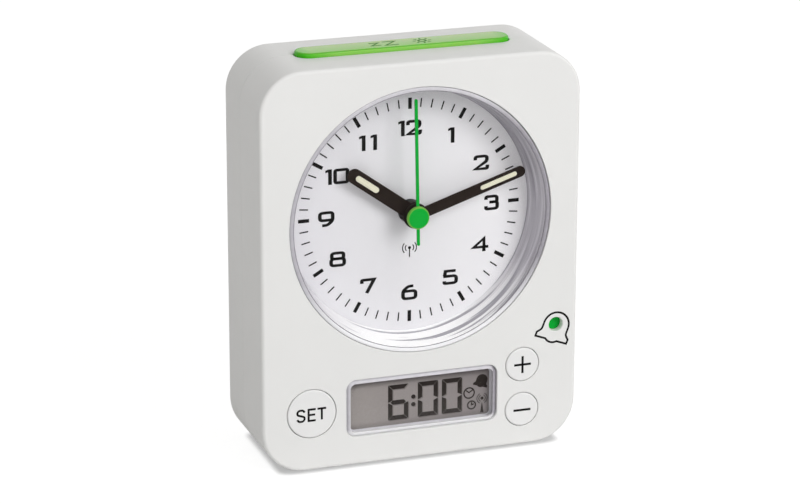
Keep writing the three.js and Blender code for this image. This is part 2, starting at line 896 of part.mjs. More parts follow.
// A hand points up until its mesh is turned to the hour.
function hand(length, width, height, hub, hole, glow) {
  const front = dialDepth - height;
  const back = front + handThickness;
  const bossBack = back + handBoss;
  const blade = strip({ x: 0, z: 0 }, { x: 0, z: length - width / 2 }, width, front, back);
  const disc = rod(hub, front, back, 0, 0, medium);
  const sleeve = rod(hole + handSleeve, front, bossBack, 0, 0, medium);
  return cut(
    joined(blade, disc, sleeve),
    glowShape(length, glow, glow.width, front - overrun, back + overrun),
    bore(hole, front - overrun, bossBack + overrun, 0, 0, medium),
  );
}

function glowShape(handLength, { tip, length }, width, y0, y1) {
  const end = handLength - tip;
  return strip({ x: 0, z: end - length }, { x: 0, z: end }, width, y0, y1);
}

function glowStrip(handLength, height, glow) {
  const front = dialDepth - height;
  const width = glow.width - 2 * running;
  return glowShape(handLength, glow, width, front, front + handThickness);
}

function secondHand() {
  const front = dialDepth - secondHeight;
  const back = front + handThickness;
  const tail = { x: 0, z: -secondTail + secondWidth / 2 };
  const tip = { x: 0, z: secondLength - secondWidth / 2 };
  const needle = strip(tail, tip, secondWidth, front, back);
  const capFront = back - capThickness;
  const bossRadius = secondArbor + capSleeve;
  const bossBack = back + capBoss;
  const points = [
    [0, capFront],
    [capRadius - capEdge, capFront],
    [capRadius, capFront + capEdge],
    [capRadius, back],
    [bossRadius, back],
    [bossRadius, bossBack],
    [0, bossBack],
  ];
  const hole = bore(secondArbor + running, front, bossBack + overrun);
  return joined(needle, turned(points, 0, 0, round)).subtract(hole);
}

// The wheels lie in planes counted from the movement's front plate.
function plane(count) {
  const front = wheelSpace + wheelClear + count * wheelPitch;
  return [front, front + wheelThickness];
}

// Places in the movement, about the clock's axis
const hourPlane = 0;
const cannonPlane = 1;
const minutePlane = 2;
const secondPlane = 4;
const pivotFront = wheelSpace - pivotDepth + seat;
const pivotBack = workInside + pivotDepth - seat;
const thirds = [1, -1].map((side) => ({
  side,
  x: side * trainDistance * Math.cos(trainAngle),
  z: trainDistance * Math.sin(trainAngle),
}));
const [minuteThird, secondThird] = thirds;
const rotors = thirds.map(({ side, x, z }) => ({ side, x: x + side * rotorDistance, z }));
const [minuteRotor, secondRotor] = rotors;
const motion = { x: 0, z: -motionDistance };
const leafRatio = leafTeeth / (wheelTeeth + leafTeeth);
const rotorRatio = leafTeeth / (thirdTeeth + leafTeeth);
const cannonRatio = cannonTeeth / (cannonTeeth + motionTeeth);
const hourRatio = hourTeeth / (hourTeeth + motionLeaves);
const minuteMagnet = plane(minutePlane + 2)[0] + magnetClear;
const secondMagnet = plane(secondPlane - 2)[1] + magnetClear;
const coilDepth = (wheelSpace + workInside) / 2 + coilOffset;
const footDistance = (coilLength + statorLeg) / 2;
const footZ = coilHeight - coilRadius - statorArm / 2 - coilClear;
const workHalf = minuteRotor.x + footDistance + statorLeg / 2 + workGap + workPlate;
const workAbove = coilHeight + coilRadius + workGap + workPlate;
const motionRadius = motionDistance * (1 - cannonRatio);
const motionTip = motionRadius * (1 + (2 * addendum) / motionTeeth);
const workBelow = motionDistance + motionTip + workGap + workPlate;

function arbor({ x, z }) {
  return rod(arborRadius, pivotFront, pivotBack, x, z, tiny);
}

// Joins two wheels of one arbor that lie in neighbouring planes.
function spacer({ x, z }, level) {
  return rod(spacerRadius, plane(level)[0], plane(level + 1)[1], x, z, tiny);
}

// The wheel on the clock's axis that a third wheel's leaves drive.
function centreWheel(third, level) {
  return gear(wheelTeeth, trainDistance * (1 - leafRatio), angleTo(third), ...plane(level));
}

function thirdWheel(third, level) {
  const { side, x, z } = third;
  const leafPhase = gapTowards(angleTo(third), leafTeeth);
  const leaves = gear(leafTeeth, trainDistance * leafRatio, leafPhase, ...plane(level), x, z);
  const rotorAngle = side > 0 ? 0 : Math.PI;
  const wheelRadius = rotorDistance * (1 - rotorRatio);
  const wheel = gear(thirdTeeth, wheelRadius, rotorAngle, ...plane(level + 1), x, z);
  return joined(leaves, wheel, spacer(third, level), arbor(third));
}

function rotorWheel(rotor, level, magnetFront) {
  const { side, x, z } = rotor;
  const phase = gapTowards(side > 0 ? 0 : Math.PI, leafTeeth);
  const leaves = gear(leafTeeth, rotorDistance * rotorRatio, phase, ...plane(level), x, z);
  const magnet = rod(magnetRadius, magnetFront, magnetFront + magnetLength, x, z);
  return joined(leaves, magnet, arbor(rotor));
}

// A pipe's front end lies just behind the face of the hand that it carries.
function pipeFront(height) {
  return dialDepth - height + pipeRecess;
}

function hourWheel() {
  const [front, back] = plane(hourPlane);
  const wheel = gear(hourTeeth, motionDistance * hourRatio, -Math.PI / 2, front, back);
  const pipe = rod(hourPipe, pipeFront(hourHeight), back, 0, 0, medium);
  const inside = bore(minutePipe + 2 * running, 0, back + overrun, 0, 0, medium);
  return joined(wheel, pipe).subtract(inside);
}

function minuteWheel() {
  const cannonRadius = motionDistance * cannonRatio;
  const cannon = gear(cannonTeeth, cannonRadius, -Math.PI / 2, ...plane(cannonPlane));
  const wheel = centreWheel(minuteThird, minutePlane);
  const back = plane(minutePlane)[1];
  const pipe = rod(minutePipe, pipeFront(minuteHeight), back, 0, 0, medium);
  const inside = bore(secondArbor + 2 * running, 0, back + overrun);
  return joined(cannon, wheel, pipe).subtract(inside);
}

function motionWheel() {
  const { x, z } = motion;
  const angle = angleTo(motion);
  const leafPhase = gapTowards(angle, motionLeaves);
  const leafRadius = motionDistance * (1 - hourRatio);
  const leaves = gear(motionLeaves, leafRadius, leafPhase, ...plane(hourPlane), x, z);
  const wheelPhase = gapTowards(angle, motionTeeth);
  const wheel = gear(motionTeeth, motionRadius, wheelPhase, ...plane(cannonPlane), x, z);
  return joined(leaves, wheel, spacer(motion, hourPlane), arbor(motion));
}

function secondWheel() {
  const wheel = centreWheel(secondThird, secondPlane);
  return wheel.add(rod(secondArbor, pipeFront(secondHeight), pivotBack));
}

function statorFront(magnetFront) {
  return magnetFront + (magnetLength - statorThickness) / 2;
}

function statorFeet(rotor) {
  return [-1, 1].map((side) => ({ x: rotor.x + side * footDistance, z: footZ }));
}

function stator(rotor, magnetFront) {
  const front = statorFront(magnetFront);
  const back = front + statorThickness;
  const ring = rod(statorRing, front, back, rotor.x, rotor.z, medium);
  const half = statorLeg / 2;
  const arms = statorFeet(rotor).flatMap((foot) => [
    strip(rotor, foot, statorArm, front, back),
    box(foot.x - half, foot.x + half, front, back, foot.z, coilHeight),
  ]);
  const air = magnetRadius + statorAir;
  const hole = bore(air, front - overrun, back + overrun, rotor.x, rotor.z);
  return joined(ring, ...arms).subtract(hole);
}

function coil(rotor) {
  const half = coilLength / 2 - coilClear;
  const [left, right] = [rotor.x - half, rotor.x + half];
  const waist = coilRadius - coilWaist;
  const points = [
    [0, left],
    [coilRadius, left],
    [coilRadius, left + coilFlange],
    [waist, left + coilFlange],
    [waist, right - coilFlange],
    [coilRadius, right - coilFlange],
    [coilRadius, right],
    [0, right],
  ];
  return lying(points, coilDepth, coilHeight, coarse);
}

// The movement's outline, drawn in by an inset; it reaches further above its axis than below.
function workOutline(inset) {
  const [width, height] = [2 * (workHalf - inset), workAbove + workBelow - 2 * inset];
  return roundedRect(width, height, workCorner - inset, 0, (workAbove - workBelow) / 2);
}

function workFrontPlate() {
  const sheet = slab(workOutline(0), workFront, wheelSpace);
  const tube = rod(tubeRadius, dialDepth - tubeHeight, wheelSpace, 0, 0, medium);
  const inside = bore(hourPipe + 2 * running, 0, wheelSpace + overrun, 0, 0, medium);
  const pivots = [...thirds, ...rotors, motion].map(({ x, z }) =>
    bore(arborRadius + running, wheelSpace - pivotDepth, wheelSpace + overrun, x, z, tiny),
  );
  return cut(joined(sheet, tube), inside, ...pivots);
}

function statorPosts(rotor, magnetFront) {
  const front = statorFront(magnetFront) + statorThickness + seat;
  const z = coilHeight - statorLeg;
  return statorFeet(rotor).map(({ x }) => rod(statorPost, front, workInside + overlap, x, z, tiny));
}

function workRearCase() {
  const front = wheelSpace + seat;
  const outer = slab(workOutline(0), front, workBack);
  const hollow = slab(workOutline(workPlate), front - overrun, workInside);
  const axle = { x: 0, z: 0, radius: secondArbor };
  const pivots = [axle, ...thirds, ...rotors, motion].map(({ x, z, radius = arborRadius }) =>
    bore(radius + running, workInside - overrun, workInside + pivotDepth, x, z, tiny),
  );
  return cut(
    joined(
      outer.subtract(hollow),
      ...statorPosts(minuteRotor, minuteMagnet),
      ...statorPosts(secondRotor, secondMagnet),
    ),
    ...pivots,
  );
}

function alarmSlider() {
  const inner = sliderSide - sliderThickness;
  const [front, back] = [sliderDepth - carriageHalf, sliderDepth + carriageHalf];
  const long = knobHeight / 2 + sliderTravel;
  const carriage = box(inner, sliderSide, front, back, flagZ - long, flagZ + long);
  const knobSide = caseWidth / 2 + knobProud;
  const knobLength = knobSide - inner;
  const knob = slab(
    roundedRect(knobLength, knobHeight, knobCorner, knobSide - knobLength / 2, flagZ),
    sliderDepth - knobWidth / 2,
    sliderDepth + knobWidth / 2,
  );
  const grooves = [-groovePitch, 0, groovePitch].map((step) => {
    const [low, high] = [flagZ + step - grooveWidth / 2, flagZ + step + grooveWidth / 2];
    return box(knobSide - grooveDepth, knobSide + overrun, front, back, low, high);
  });
  const flagFront = innerFront + slip;
  const half = flagHole + flagMargin;
  const [low, high] = [flagZ - half, flagZ + half];
  const arm = box(inner, sliderSide, flagFront, sliderDepth, low, high);
  const flag = box(flagX - half, sliderSide, flagFront, flagFront + flagThickness, low, high);
  return cut(joined(carriage, knob, arm, flag), ...grooves);
}

// The bent brush that the slider carries over the board's edge.
function alarmContact() {
  const outer = sliderSide - sliderThickness - seat / 2;
  const inner = outer - contactSheet;
  const back = boardDepth - 2 * seat;
  const front = back - contactSheet;
  const low = flagZ - knobHeight / 2 - sliderTravel;
  const sheet = polygon([
    [outer, back - brushHeight],
    [outer, back],
    [outer - brushReach, back],
    [outer - brushReach, front],
    [inner, front],
    [inner, back - brushHeight],
  ]);
  return column(sheet, low, low + brushHeight);
}

function displayWindow() {
  const flangeFront = innerFront + seat;
  const back = flangeFront + windowFlangeThickness;
  const [width, height] = [displayWidth - 2 * seat, displayHeight - 2 * seat];
  const pane = roundedRect(width, height, displayCorner - seat, displayX, displayZ);
  const flangeHeight = displayHeight + 2 * windowFlange;
  const flange = roundedRect(glassWidth, flangeHeight, displayCorner, displayX, displayZ);
  const bevelled = slab(pane, windowInset, back + windowBevel, windowBevel, 2, 1);
  return bevelled.intersect(caseSlice(0, back)).add(slab(flange, flangeFront, back));
}

function displayGlass() {
  const [left, right] = [displayX - glassWidth / 2, displayX + glassWidth / 2];
  const [low, high] = [displayZ - glassHeight / 2, displayZ + glassHeight / 2];
  const middle = glassFront + glassThickness;
  return joined(
    box(left, right, glassFront, middle, low, high),
    box(left, right, middle - seat, middle + glassThickness, low + glassLedge, high),
  );
}

function lightGuide() {
  const front = glassFront + 2 * glassThickness + seat;
  const low = displayZ - glassHeight / 2 + glassLedge + stripClear;
  const high = displayZ + glassHeight / 2 - guideMargin / 2;
  const half = glassWidth / 2 - guideMargin;
  return box(displayX - half, displayX + half, front, boardDepth - seat, low, high);
}

function rubberStrip() {
  const low = displayZ - glassHeight / 2 + stripClear;
  const high = displayZ - glassHeight / 2 + glassLedge - stripClear;
  const half = glassWidth / 2 - stripMargin;
  const front = glassFront + glassThickness + seat;
  return box(displayX - half, displayX + half, front, boardDepth - seat, low, high);
}

function mainBoard() {
  const bossSide = caseWidth / 2 - caseScrewInset - caseBoss - boardBossGap;
  const bossTop = caseScrewInset + caseBoss + boardBossGap;
  const sheet = polygon([
    [-bossSide, boardLow],
    [bossSide, boardLow],
    [bossSide, bossTop],
    [boardRight, bossTop],
    [boardRight, boardHigh],
    [boardNotchHalf, boardHigh],
    [boardNotchHalf, boardNotchZ],
    [-boardNotchHalf, boardNotchZ],
    [-boardNotchHalf, boardHigh],
    [boardLeft, boardHigh],
    [boardLeft, bossTop],
    [-bossSide, bossTop],
  ]);
  const holes = boardPosts.map(({ x, z }) => bore(pegRadius + seat, 0, caseDepth, x, z, tiny));
  return cut(slab(sheet, boardDepth, boardDepth + boardThickness), ...holes);
}

function chipBlob() {
  const profile = [
    [0, 0],
    [1, 0],
    [0.9, 0.45],
    [0.57, 0.87],
    [0, 1],
  ];
  const points = profile.map(([out, up]) => [out * chip.radius, boardBack + up * chip.height]);
  return turned(points, chip.x, chip.z);
}

function crystalCan() {
  const { inset, z, radius, length, edge } = crystal;
  const middle = boardRight - inset;
  const [left, right] = [middle - length / 2, middle + length / 2];
  const points = [
    [0, left],
    [radius - edge, left],
    [radius, left + edge],
    [radius, right],
    [0, right],
  ];
  return lying(points, boardBack + radius, z, coarse);
}

function dialLamp() {
  const { z, width, depth, foot, lens, edge } = lamp;
  const back = boardDepth - seat;
  const front = back - depth;
  const lensShape = roundedRect(width - 2 * edge, depth - 2 * seat, edge, 0, (front + back) / 2);
  const top = z + foot;
  return joined(
    box(-width / 2, width / 2, front, back, z, top),
    column(lensShape, top - overlap, top + lens, 0, 2),
  );
}

function snoozeBoard() {
  const width = switchSize + 2 * snoozeBoardMargin;
  const shape = roundedRect(snoozeBoardLength, width, snoozeBoardCorner, 0, barDepth);
  return column(shape, shelfZ + seat, snoozeBoardTop, 0, 1);
}

function snoozeSwitch() {
  const half = switchSize / 2;
  const low = snoozeBoardTop + seat;
  const high = low + switchHeight;
  const stem = new THREE.Shape();
  stem.absarc(0, barDepth, stemRadius, 0, 2 * Math.PI);
  return joined(
    box(-half, half, barDepth - half, barDepth + half, low, high),
    column(stem, high - overlap, snoozeStemTop, 0, 5),
  );
}

function aerialRod() {
  return lyingRod(rodRadius, -rodLength / 2, rodLength / 2, aerialDepth, aerialZ);
}

function aerialWinding() {
  const inner = (rodRadius + seat) / Math.cos(Math.PI / medium);
  const half = windingLength / 2;
  const points = [
    [inner, -half],
    [windingRadius, -half],
    [windingRadius, half],
    [inner, half],
    [inner, -half],
  ];
  return lying(points, aerialDepth, aerialZ);
}

function buzzerCan() {
  const back = innerBack - seat;
  const front = back - buzzerHeight;
  const floor = back - buzzerHoleDepth;
  const points = [
    [0, front],
    [buzzerRadius - buzzerEdge, front],
    [buzzerRadius, front + buzzerEdge],
    [buzzerRadius, back],
    [buzzerHole, back],
    [buzzerHole, floor],
    [0, floor],
  ];
  return turned(points, 0, buzzerZ, round);
}

// A round cell with its nub at the right end, or at the left end when turned round.
function cell(z, turnedRound) {
  const [flat, shoulder, tip] = [-cellLength / 2, cellLength / 2 - cellNub, cellLength / 2];
  const points = [
    [0, flat],
    [cellRadius - cellEdge, flat],
    [cellRadius, flat + cellEdge],
    [cellRadius, shoulder - cellEdge],
    [cellRadius - cellEdge, shoulder],
    [cellNubRadius, shoulder],
    [cellNubRadius, tip],
    [0, tip],
  ];
  const mirrored = points.map(([radius, x]) => [radius, -x]).reverse();
  return lying(turnedRound ? mirrored : points, cellDepth, z);
}

// A bent sheet contact: it stands against the bay's wall and bows towards the cell's end.
function bayContact(side, low, high) {
  const base = side * (bayHalf - seat);
  const inner = base - side * contactSheet;
  const crest = side * (cellLength / 2 + slip);
  const crestBack = crest + side * contactSheet;
  const [front, back] = [cellDepth - contactHalf, cellDepth + contactHalf];
  const foot = contactHalf / 5;
  const sheet = [
    [base, front],
    [base, front + foot],
    [crestBack, cellDepth - contactCrest],
    [crestBack, cellDepth + contactCrest],
    [base, back - foot],
    [base, back],
    [inner, back],
    [inner, back - foot - contactSheet],
    [crest, cellDepth + contactCrest + contactSheet / 2],
    [crest, cellDepth - contactCrest - contactSheet / 2],
    [inner, front + foot + contactSheet],
    [inner, front],
  ];
  return column(polygon(sheet), low - contactRise, high + contactRise);
}

// A pan-head screw driven from the back, with its head on a seat at the depth given.
function screw(x, z, headSeat, length) {
  const tip = headSeat - length;
  const top = headSeat + screwHeadHeight;
  const points = [
    [0, tip],
    [screwRadius / 2, tip],
    [screwRadius, tip + screwPoint],
    [screwRadius, headSeat],
    [screwHead, headSeat],
    [screwHead, top - screwHeadEdge],
    [screwHead - screwHeadEdge, top],
    [0, top],
  ];
  return turned(points, x, z, coarse);
}

// The clock, with the middle of its base at the origin
const root = new THREE.Group();
root.name = "radio_alarm_clock";
const clock = new THREE.Group();
clock.position.set(0, -caseDepth / 2, 0);
root.add(clock);
const dialGroup = new THREE.Group();
dialGroup.position.set(0, 0, dialHeight);
clock.add(dialGroup);

add(clock, "front_shell", frontShell(), whitePlastic);
add(clock, "rear_cover", rearCover(), whitePlastic);
add(clock, "battery_door", batteryDoor(), whitePlastic);
add(clock, "snooze_bar", snoozeBar(), limePlastic);
add(clock, "set_button", pushButton(setButton), whitePlastic);
add(clock, "plus_button", pushButton(plusButton), whitePlastic);
add(clock, "minus_button", pushButton(minusButton), whitePlastic);
add(clock, "alarm_slider", alarmSlider(), greenPlastic);
add(clock, "alarm_contact", alarmContact(), brass);

add(dialGroup, "dial_cup", dialCup(), clearPlastic);
add(dialGroup, "dial", dialPlate(), dialWhite);
add(dialGroup, "dial_carrier", dialCarrier(), naturalPlastic);

const hourHole = hourPipe + running;
const minuteHole = minutePipe + running;
const hourBlade = hand(hourLength, hourWidth, hourHeight, hourHub, hourHole, hourGlow);
const minuteBlade = hand(minuteLength, minuteWidth, minuteHeight, minuteHub, minuteHole, minuteGlow);
const hourMeshes = [
  add(dialGroup, "hour_hand", hourBlade, handBlack),
  add(dialGroup, "hour_hand_glow", glowStrip(hourLength, hourHeight, hourGlow), glowCream),
];
const minuteMeshes = [
  add(dialGroup, "minute_hand", minuteBlade, handBlack),
  add(dialGroup, "minute_hand_glow", glowStrip(minuteLength, minuteHeight, minuteGlow), glowCream),
];
for (const mesh of hourMeshes) {
  mesh.rotation.y = hourTurn;
}
for (const mesh of minuteMeshes) {
  mesh.rotation.y = minuteTurn;
}
const secondMesh = add(dialGroup, "second_hand", secondHand(), greenPlastic);
secondMesh.rotation.y = secondTurn;

add(dialGroup, "movement_front", workFrontPlate(), blackPlastic);
add(dialGroup, "movement_rear", workRearCase(), blackPlastic);
add(dialGroup, "hour_wheel", hourWheel(), wheelPlastic);
add(dialGroup, "minute_wheel", minuteWheel(), wheelPlastic);
add(dialGroup, "motion_wheel", motionWheel(), wheelPlastic);
add(dialGroup, "second_wheel", secondWheel(), wheelPlastic);
add(dialGroup, "minute_third_wheel", thirdWheel(minuteThird, minutePlane), wheelPlastic);
add(dialGroup, "second_third_wheel", thirdWheel(secondThird, secondPlane), wheelPlastic);
add(dialGroup, "minute_rotor", rotorWheel(minuteRotor, minutePlane + 1, minuteMagnet), steel);
add(dialGroup, "second_rotor", rotorWheel(secondRotor, secondPlane + 1, secondMagnet), steel);
add(dialGroup, "minute_stator", stator(minuteRotor, minuteMagnet), steel);
add(dialGroup, "second_stator", stator(secondRotor, secondMagnet), steel);
add(dialGroup, "minute_coil", coil(minuteRotor), copper);
add(dialGroup, "second_coil", coil(secondRotor), copper);

add(clock, "display_window", displayWindow(), clearPlastic);
add(clock, "display_glass", displayGlass(), displayGrey);
add(clock, "display_light_guide", lightGuide(), naturalPlastic);
add(clock, "display_rubber_strip", rubberStrip(), rubberGrey);
add(clock, "main_board", mainBoard(), boardGreen);
add(clock, "set_switch", pushSwitch(setButton), blackPlastic);
add(clock, "plus_switch", pushSwitch(plusButton), blackPlastic);
add(clock, "minus_switch", pushSwitch(minusButton), blackPlastic);
add(clock, "controller_chip", chipBlob(), blackPlastic);
add(clock, "quartz_crystal", crystalCan(), steel);
add(clock, "dial_lamp", dialLamp(), clearPlastic);
add(clock, "snooze_board", snoozeBoard(), boardGreen);
add(clock, "snooze_switch", snoozeSwitch(), blackPlastic);
add(clock, "aerial_rod", aerialRod(), ferrite);
add(clock, "aerial_winding", aerialWinding(), copper);
add(clock, "buzzer", buzzerCan(), blackPlastic);

add(clock, "battery_upper", cell(cellHighZ, false), cellGrey);
add(clock, "battery_lower", cell(cellLowZ, true), cellGrey);
add(clock, "contact_bridge", bayContact(-1, cellLowZ, cellHighZ), steel);
add(clock, "contact_plus", bayContact(1, cellHighZ, cellHighZ), steel);
add(clock, "contact_minus", bayContact(1, cellLowZ, cellLowZ), steel);

const caseHeadSeat = caseDepth - counterbore + seat;
caseScrews.forEach(({ x, z }, count) => {
  const body = screw(x, z, caseHeadSeat, caseHeadSeat - caseScrewTip);
  add(clock, `case_screw_${count + 1}`, body, steel);
});
screwedEars.forEach(({ x, z }, count) => {
  const body = screw(x, z, carrierBack + seat, dialScrewLength);
  add(dialGroup, `dial_screw_${count + 1}`, body, steel);
});

export default root;
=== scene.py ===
import json
import math

import bmesh
import bpy
from mathutils import Matrix, Vector
from mathutils.geometry import tessellate_polygon

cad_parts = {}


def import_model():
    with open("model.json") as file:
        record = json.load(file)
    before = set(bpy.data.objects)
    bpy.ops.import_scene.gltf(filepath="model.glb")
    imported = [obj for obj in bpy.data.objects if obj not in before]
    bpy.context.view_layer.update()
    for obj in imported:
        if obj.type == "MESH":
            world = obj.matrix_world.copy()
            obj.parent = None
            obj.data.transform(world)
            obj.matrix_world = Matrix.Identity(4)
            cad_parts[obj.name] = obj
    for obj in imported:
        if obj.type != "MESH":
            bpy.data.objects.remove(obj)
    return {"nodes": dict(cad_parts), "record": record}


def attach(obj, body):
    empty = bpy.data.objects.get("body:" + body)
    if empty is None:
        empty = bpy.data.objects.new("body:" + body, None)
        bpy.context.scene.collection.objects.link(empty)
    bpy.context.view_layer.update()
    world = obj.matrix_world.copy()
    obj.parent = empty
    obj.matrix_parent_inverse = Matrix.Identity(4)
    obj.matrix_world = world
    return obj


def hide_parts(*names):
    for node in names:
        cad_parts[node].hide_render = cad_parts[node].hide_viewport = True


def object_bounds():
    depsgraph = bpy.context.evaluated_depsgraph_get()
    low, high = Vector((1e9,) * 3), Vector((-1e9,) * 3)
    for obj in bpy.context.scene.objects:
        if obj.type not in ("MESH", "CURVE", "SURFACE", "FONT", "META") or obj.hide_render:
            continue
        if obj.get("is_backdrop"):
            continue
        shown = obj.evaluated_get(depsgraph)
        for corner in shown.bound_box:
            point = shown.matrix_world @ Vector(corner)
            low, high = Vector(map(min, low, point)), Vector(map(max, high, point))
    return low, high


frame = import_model()
cad_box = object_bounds()

# Lengths are millimetres as far as the studio. A depth runs from the front face to the back.
MM = 0.001
CASE_WIDTH = 90.0
CASE_HEIGHT = 111.4
CASE_DEPTH = 33.0
CORNER = 12.0
WALL = 2.0
FRONT_EDGE = 1.0
REAR_EDGE = 2.3
SHELL_BACK = 17.55
COVER_FRONT = 17.65
SEAM_EDGE = 0.1
SEAM_FLAT = 0.3
INNER_BACK = CASE_DEPTH - WALL
INNER_TOP = CASE_HEIGHT - WALL
SLIP = 0.25
# Rounding at the mouth of an opening
MOUTH = 0.2
# How far the cutter of an opening reaches past the wall
PAST = 1.0

# The cover's tongue in the front shell, as insets and depths
TONGUE_OUTER = WALL + 0.15
TONGUE_INNER = WALL + 1.15
TONGUE_FRONT = 15.1
TONGUE_BACK = 19.7

# Boxes of the cover: left and right, front and back, low and high
BAY = (-30.6, 30.6, 14.9, 31.5, 4.3, 39.1)
BAY_ROOM = (-28.4, 28.4, 16.2, 33.5, 6.5, 37.0)
BAR_GAP = (-33, 33, 14.0, 20.4, 105.4, INNER_TOP - 0.02)

# Dial, cup and hands
DIAL_Z = 67.4
DIAL_CENTRE = (0.0, 0.0, DIAL_Z * MM)
OPENING = 37.0
DIAL_DEPTH = 10.5
DIAL_RADIUS = 38.1
DIAL_HOLE = 3.3
DIAL_THICK = 0.8
CUP_FRONT = 0.3
CUP_BACK = 1.7
CUP_RADIUS = 36.85
CUP_SIDES = 160
PANE_FRONT = 0.6
LIP = 35.8
LIP_RISE = 0.2
SKIRT = 36.35
SKIRT_INNER_FRONT = 35.85
SKIRT_INNER_BACK = 33.95
SKIRT_END = 10.4
FLANGE = 38.6
FLANGE_FRONT = 2.1
FLANGE_BACK = 3.3
# Marks of the dial: inner and outer radius and width
HOUR_MARK = (28.4, 31.5, 1.0)
MINUTE_MARK = (28.85, 31.3, 0.36)
# The oval on which the dial's figures stand
FIGURES_WIDE = 23.6
FIGURES_HIGH = 23.2
BLADE = 0.5
BLADE_EDGE = 0.1
BOSS = 1.2
SECOND_ANGLE = -1.2
SECOND_HEIGHT = 7.1
SECOND_CAP = 3.1
# Hands: length, width, hub, hole, depth, the glow strip's ends and width, angle
HANDS = {
    "hour_hand": (22.5, 4.1, 3.2, 2.18, DIAL_DEPTH - 3.2, (12.98, 19.1, 1.7), 306.0),
    "minute_hand": (32.7, 3.0, 3.5, 1.33, DIAL_DEPTH - 5.5, (19.95, 29.6, 1.36), 72.0),
}

# Display and buttons
DISPLAY_X = 0.35
DISPLAY_Z = 16.2
DISPLAY_WIDTH = 43.4
DISPLAY_HEIGHT = 16.4
DISPLAY_CORNER = 2.8
GLASS_FRONT = 2.8
BUTTONS = {
    "set": (-31.2, 16.3, 6.75),
    "plus": (29.28, 23.4, 4.7),
    "minus": (29.28, 10.3, 4.7),
}
BUTTON_PROUD = 0.2
BUTTON_EDGE = 0.4
BUTTON_MOUTH = 0.15
# The looks are larger than the solids by this
BUTTON_GROWTH = 0.06
BUTTON_SKIRT = 0.8
BUTTON_SKIRT_FRONT = 2.3
BUTTON_SKIRT_BACK = 3.3
BUTTON_STEM = 1.8
BUTTON_BACK = 4.1

# Light bar and slider
BAR_LENGTH = 60.0
BAR_WIDTH = 8.0
BAR_TOP = 112.6
BAR_DEPTH = 16.5
BAR_EDGE = 0.6
BAR_CORNER = 3.8
BAR_SLOT_CORNER = 4.0
BAR_FLANGE = 2.8
BAR_FLANGE_LOW = 107.9
BAR_FLANGE_HIGH = 109.2
FLAG_X = 39.0
FLAG_Z = 33.9
FLAG_HOLE = 2.0
FLAG_MOUTH = 0.35
SLIDER_DEPTH = 9.0
SLIDER_TRAVEL = 5.0
SLIDER_INNER = 41.45
SLIDER_OUTER = 42.75
KNOB_WIDTH = 3.6
KNOB_LENGTH = 8.0
KNOB_FACE = 45.6
KNOB_GROOVE = 45.2

# Door, cells, screws and sound slots
DOOR_HALF = 29.35
DOOR_LOW = 5.55
DOOR_HIGH = 37.85
DOOR_EDGE = 0.4
HOOKS = (-20, 20)
HOOK_HALF = 2.5
DISH_Z = 33.35
DISH_RADIUS = 3.1
DISH_DEEP = 0.9
SLIT_X = 5.35
SLIT_HALF = 0.35
CELL_DEPTH = 23.6
CELL_RADIUS = 7.1
CELL_EDGE = 0.5
SCREWS = ((-38.0, 7.0), (-38.0, 104.4), (38.0, 7.0), (38.0, 104.4))
SCREW_HEAD = 2.2
SCREW_TOP = 29.4
SCREW_NECK = 28.1
SCREW_TIP = 9.0
SCREW_SHANK = 0.85
SCREW_SEAT = 28.0
SLEEVE_RADIUS = 2.8
SLEEVE_FRONT = 18.5
SLEEVE_BACK = 31.5
SOUND_Z = 72.0
SOUND_RADIUS = 8.0
SOUND_SLOT = 1.4
SOUND_PITCH = 3.0

# How far a print stands on its face
PRINT = 0.02

# A narrow flat band that keeps the shading of a flat face clear of its rounded edge
BAND = 0.08

# Points nearer than this are one point
SAME_POINT = 5e-4


# Shapes of the front, top and side views, as lists of points


def circle(radius, x, z, sides):
    turn = 2 * math.pi / sides
    return [(x + radius * math.cos(k * turn), z + radius * math.sin(k * turn)) for k in range(sides)]


def arc(radius, start, end, x, z, steps=14):
    turns = [math.radians(start + (end - start) * k / steps) for k in range(steps + 1)]
    return [(x + radius * math.cos(a), z + radius * math.sin(a)) for a in turns]


def rounded_rect(width, height, radius, x, z, steps):
    w, h = width / 2 - radius, height / 2 - radius
    points = []
    for cx, cz, start in ((w, -h, -90), (w, h, 0), (-w, h, 90), (-w, -h, 180)):
        points += arc(radius, start, start + 90, x + cx, z + cz, steps)
    return points


def rounded(width, height, radius, x, z, steps):
    """An outline with round corners that shrinks by an inset."""
    return lambda inset: rounded_rect(width - 2 * inset, height - 2 * inset, radius - inset, x, z, steps)


def block(u0, u1, v0, v1):
    return [(u0, v0), (u1, v0), (u1, v1), (u0, v1)]


def rim(edge, face, steps, way=1):
    """Insets and rising levels of a rounded edge between a flat face and the wall behind or ahead of it."""
    turns = [k * math.pi / 2 / steps for k in range(steps + 1)]
    return [(edge * (1 - math.sin(t)), face + way * edge * (1 - math.cos(t))) for t in turns][::way]


def turned_points(points, degrees, x, z):
    """Turns front-view points clockwise about the origin, then moves them."""
    a = math.radians(degrees)
    c, s = math.cos(a), math.sin(a)
    return [(x + px * c + pz * s, z - px * s + pz * c) for px, pz in points]


def on_dial(points, degrees):
    return turned_points(points, degrees, 0, DIAL_Z)


# Where a point of each view lies in the frame


def front(u, v, depth):
    return (u, depth - CASE_DEPTH / 2, v)


def top(u, v, height):
    return (u, v - CASE_DEPTH / 2, height)


def side(u, v, x):
    return (x, u - CASE_DEPTH / 2, v)


# Solids


def linked(name, data):
    """A new object in the scene, with its mesh, lamp or camera."""
    obj = bpy.data.objects.new(name, data)
    bpy.context.collection.objects.link(obj)
    return obj


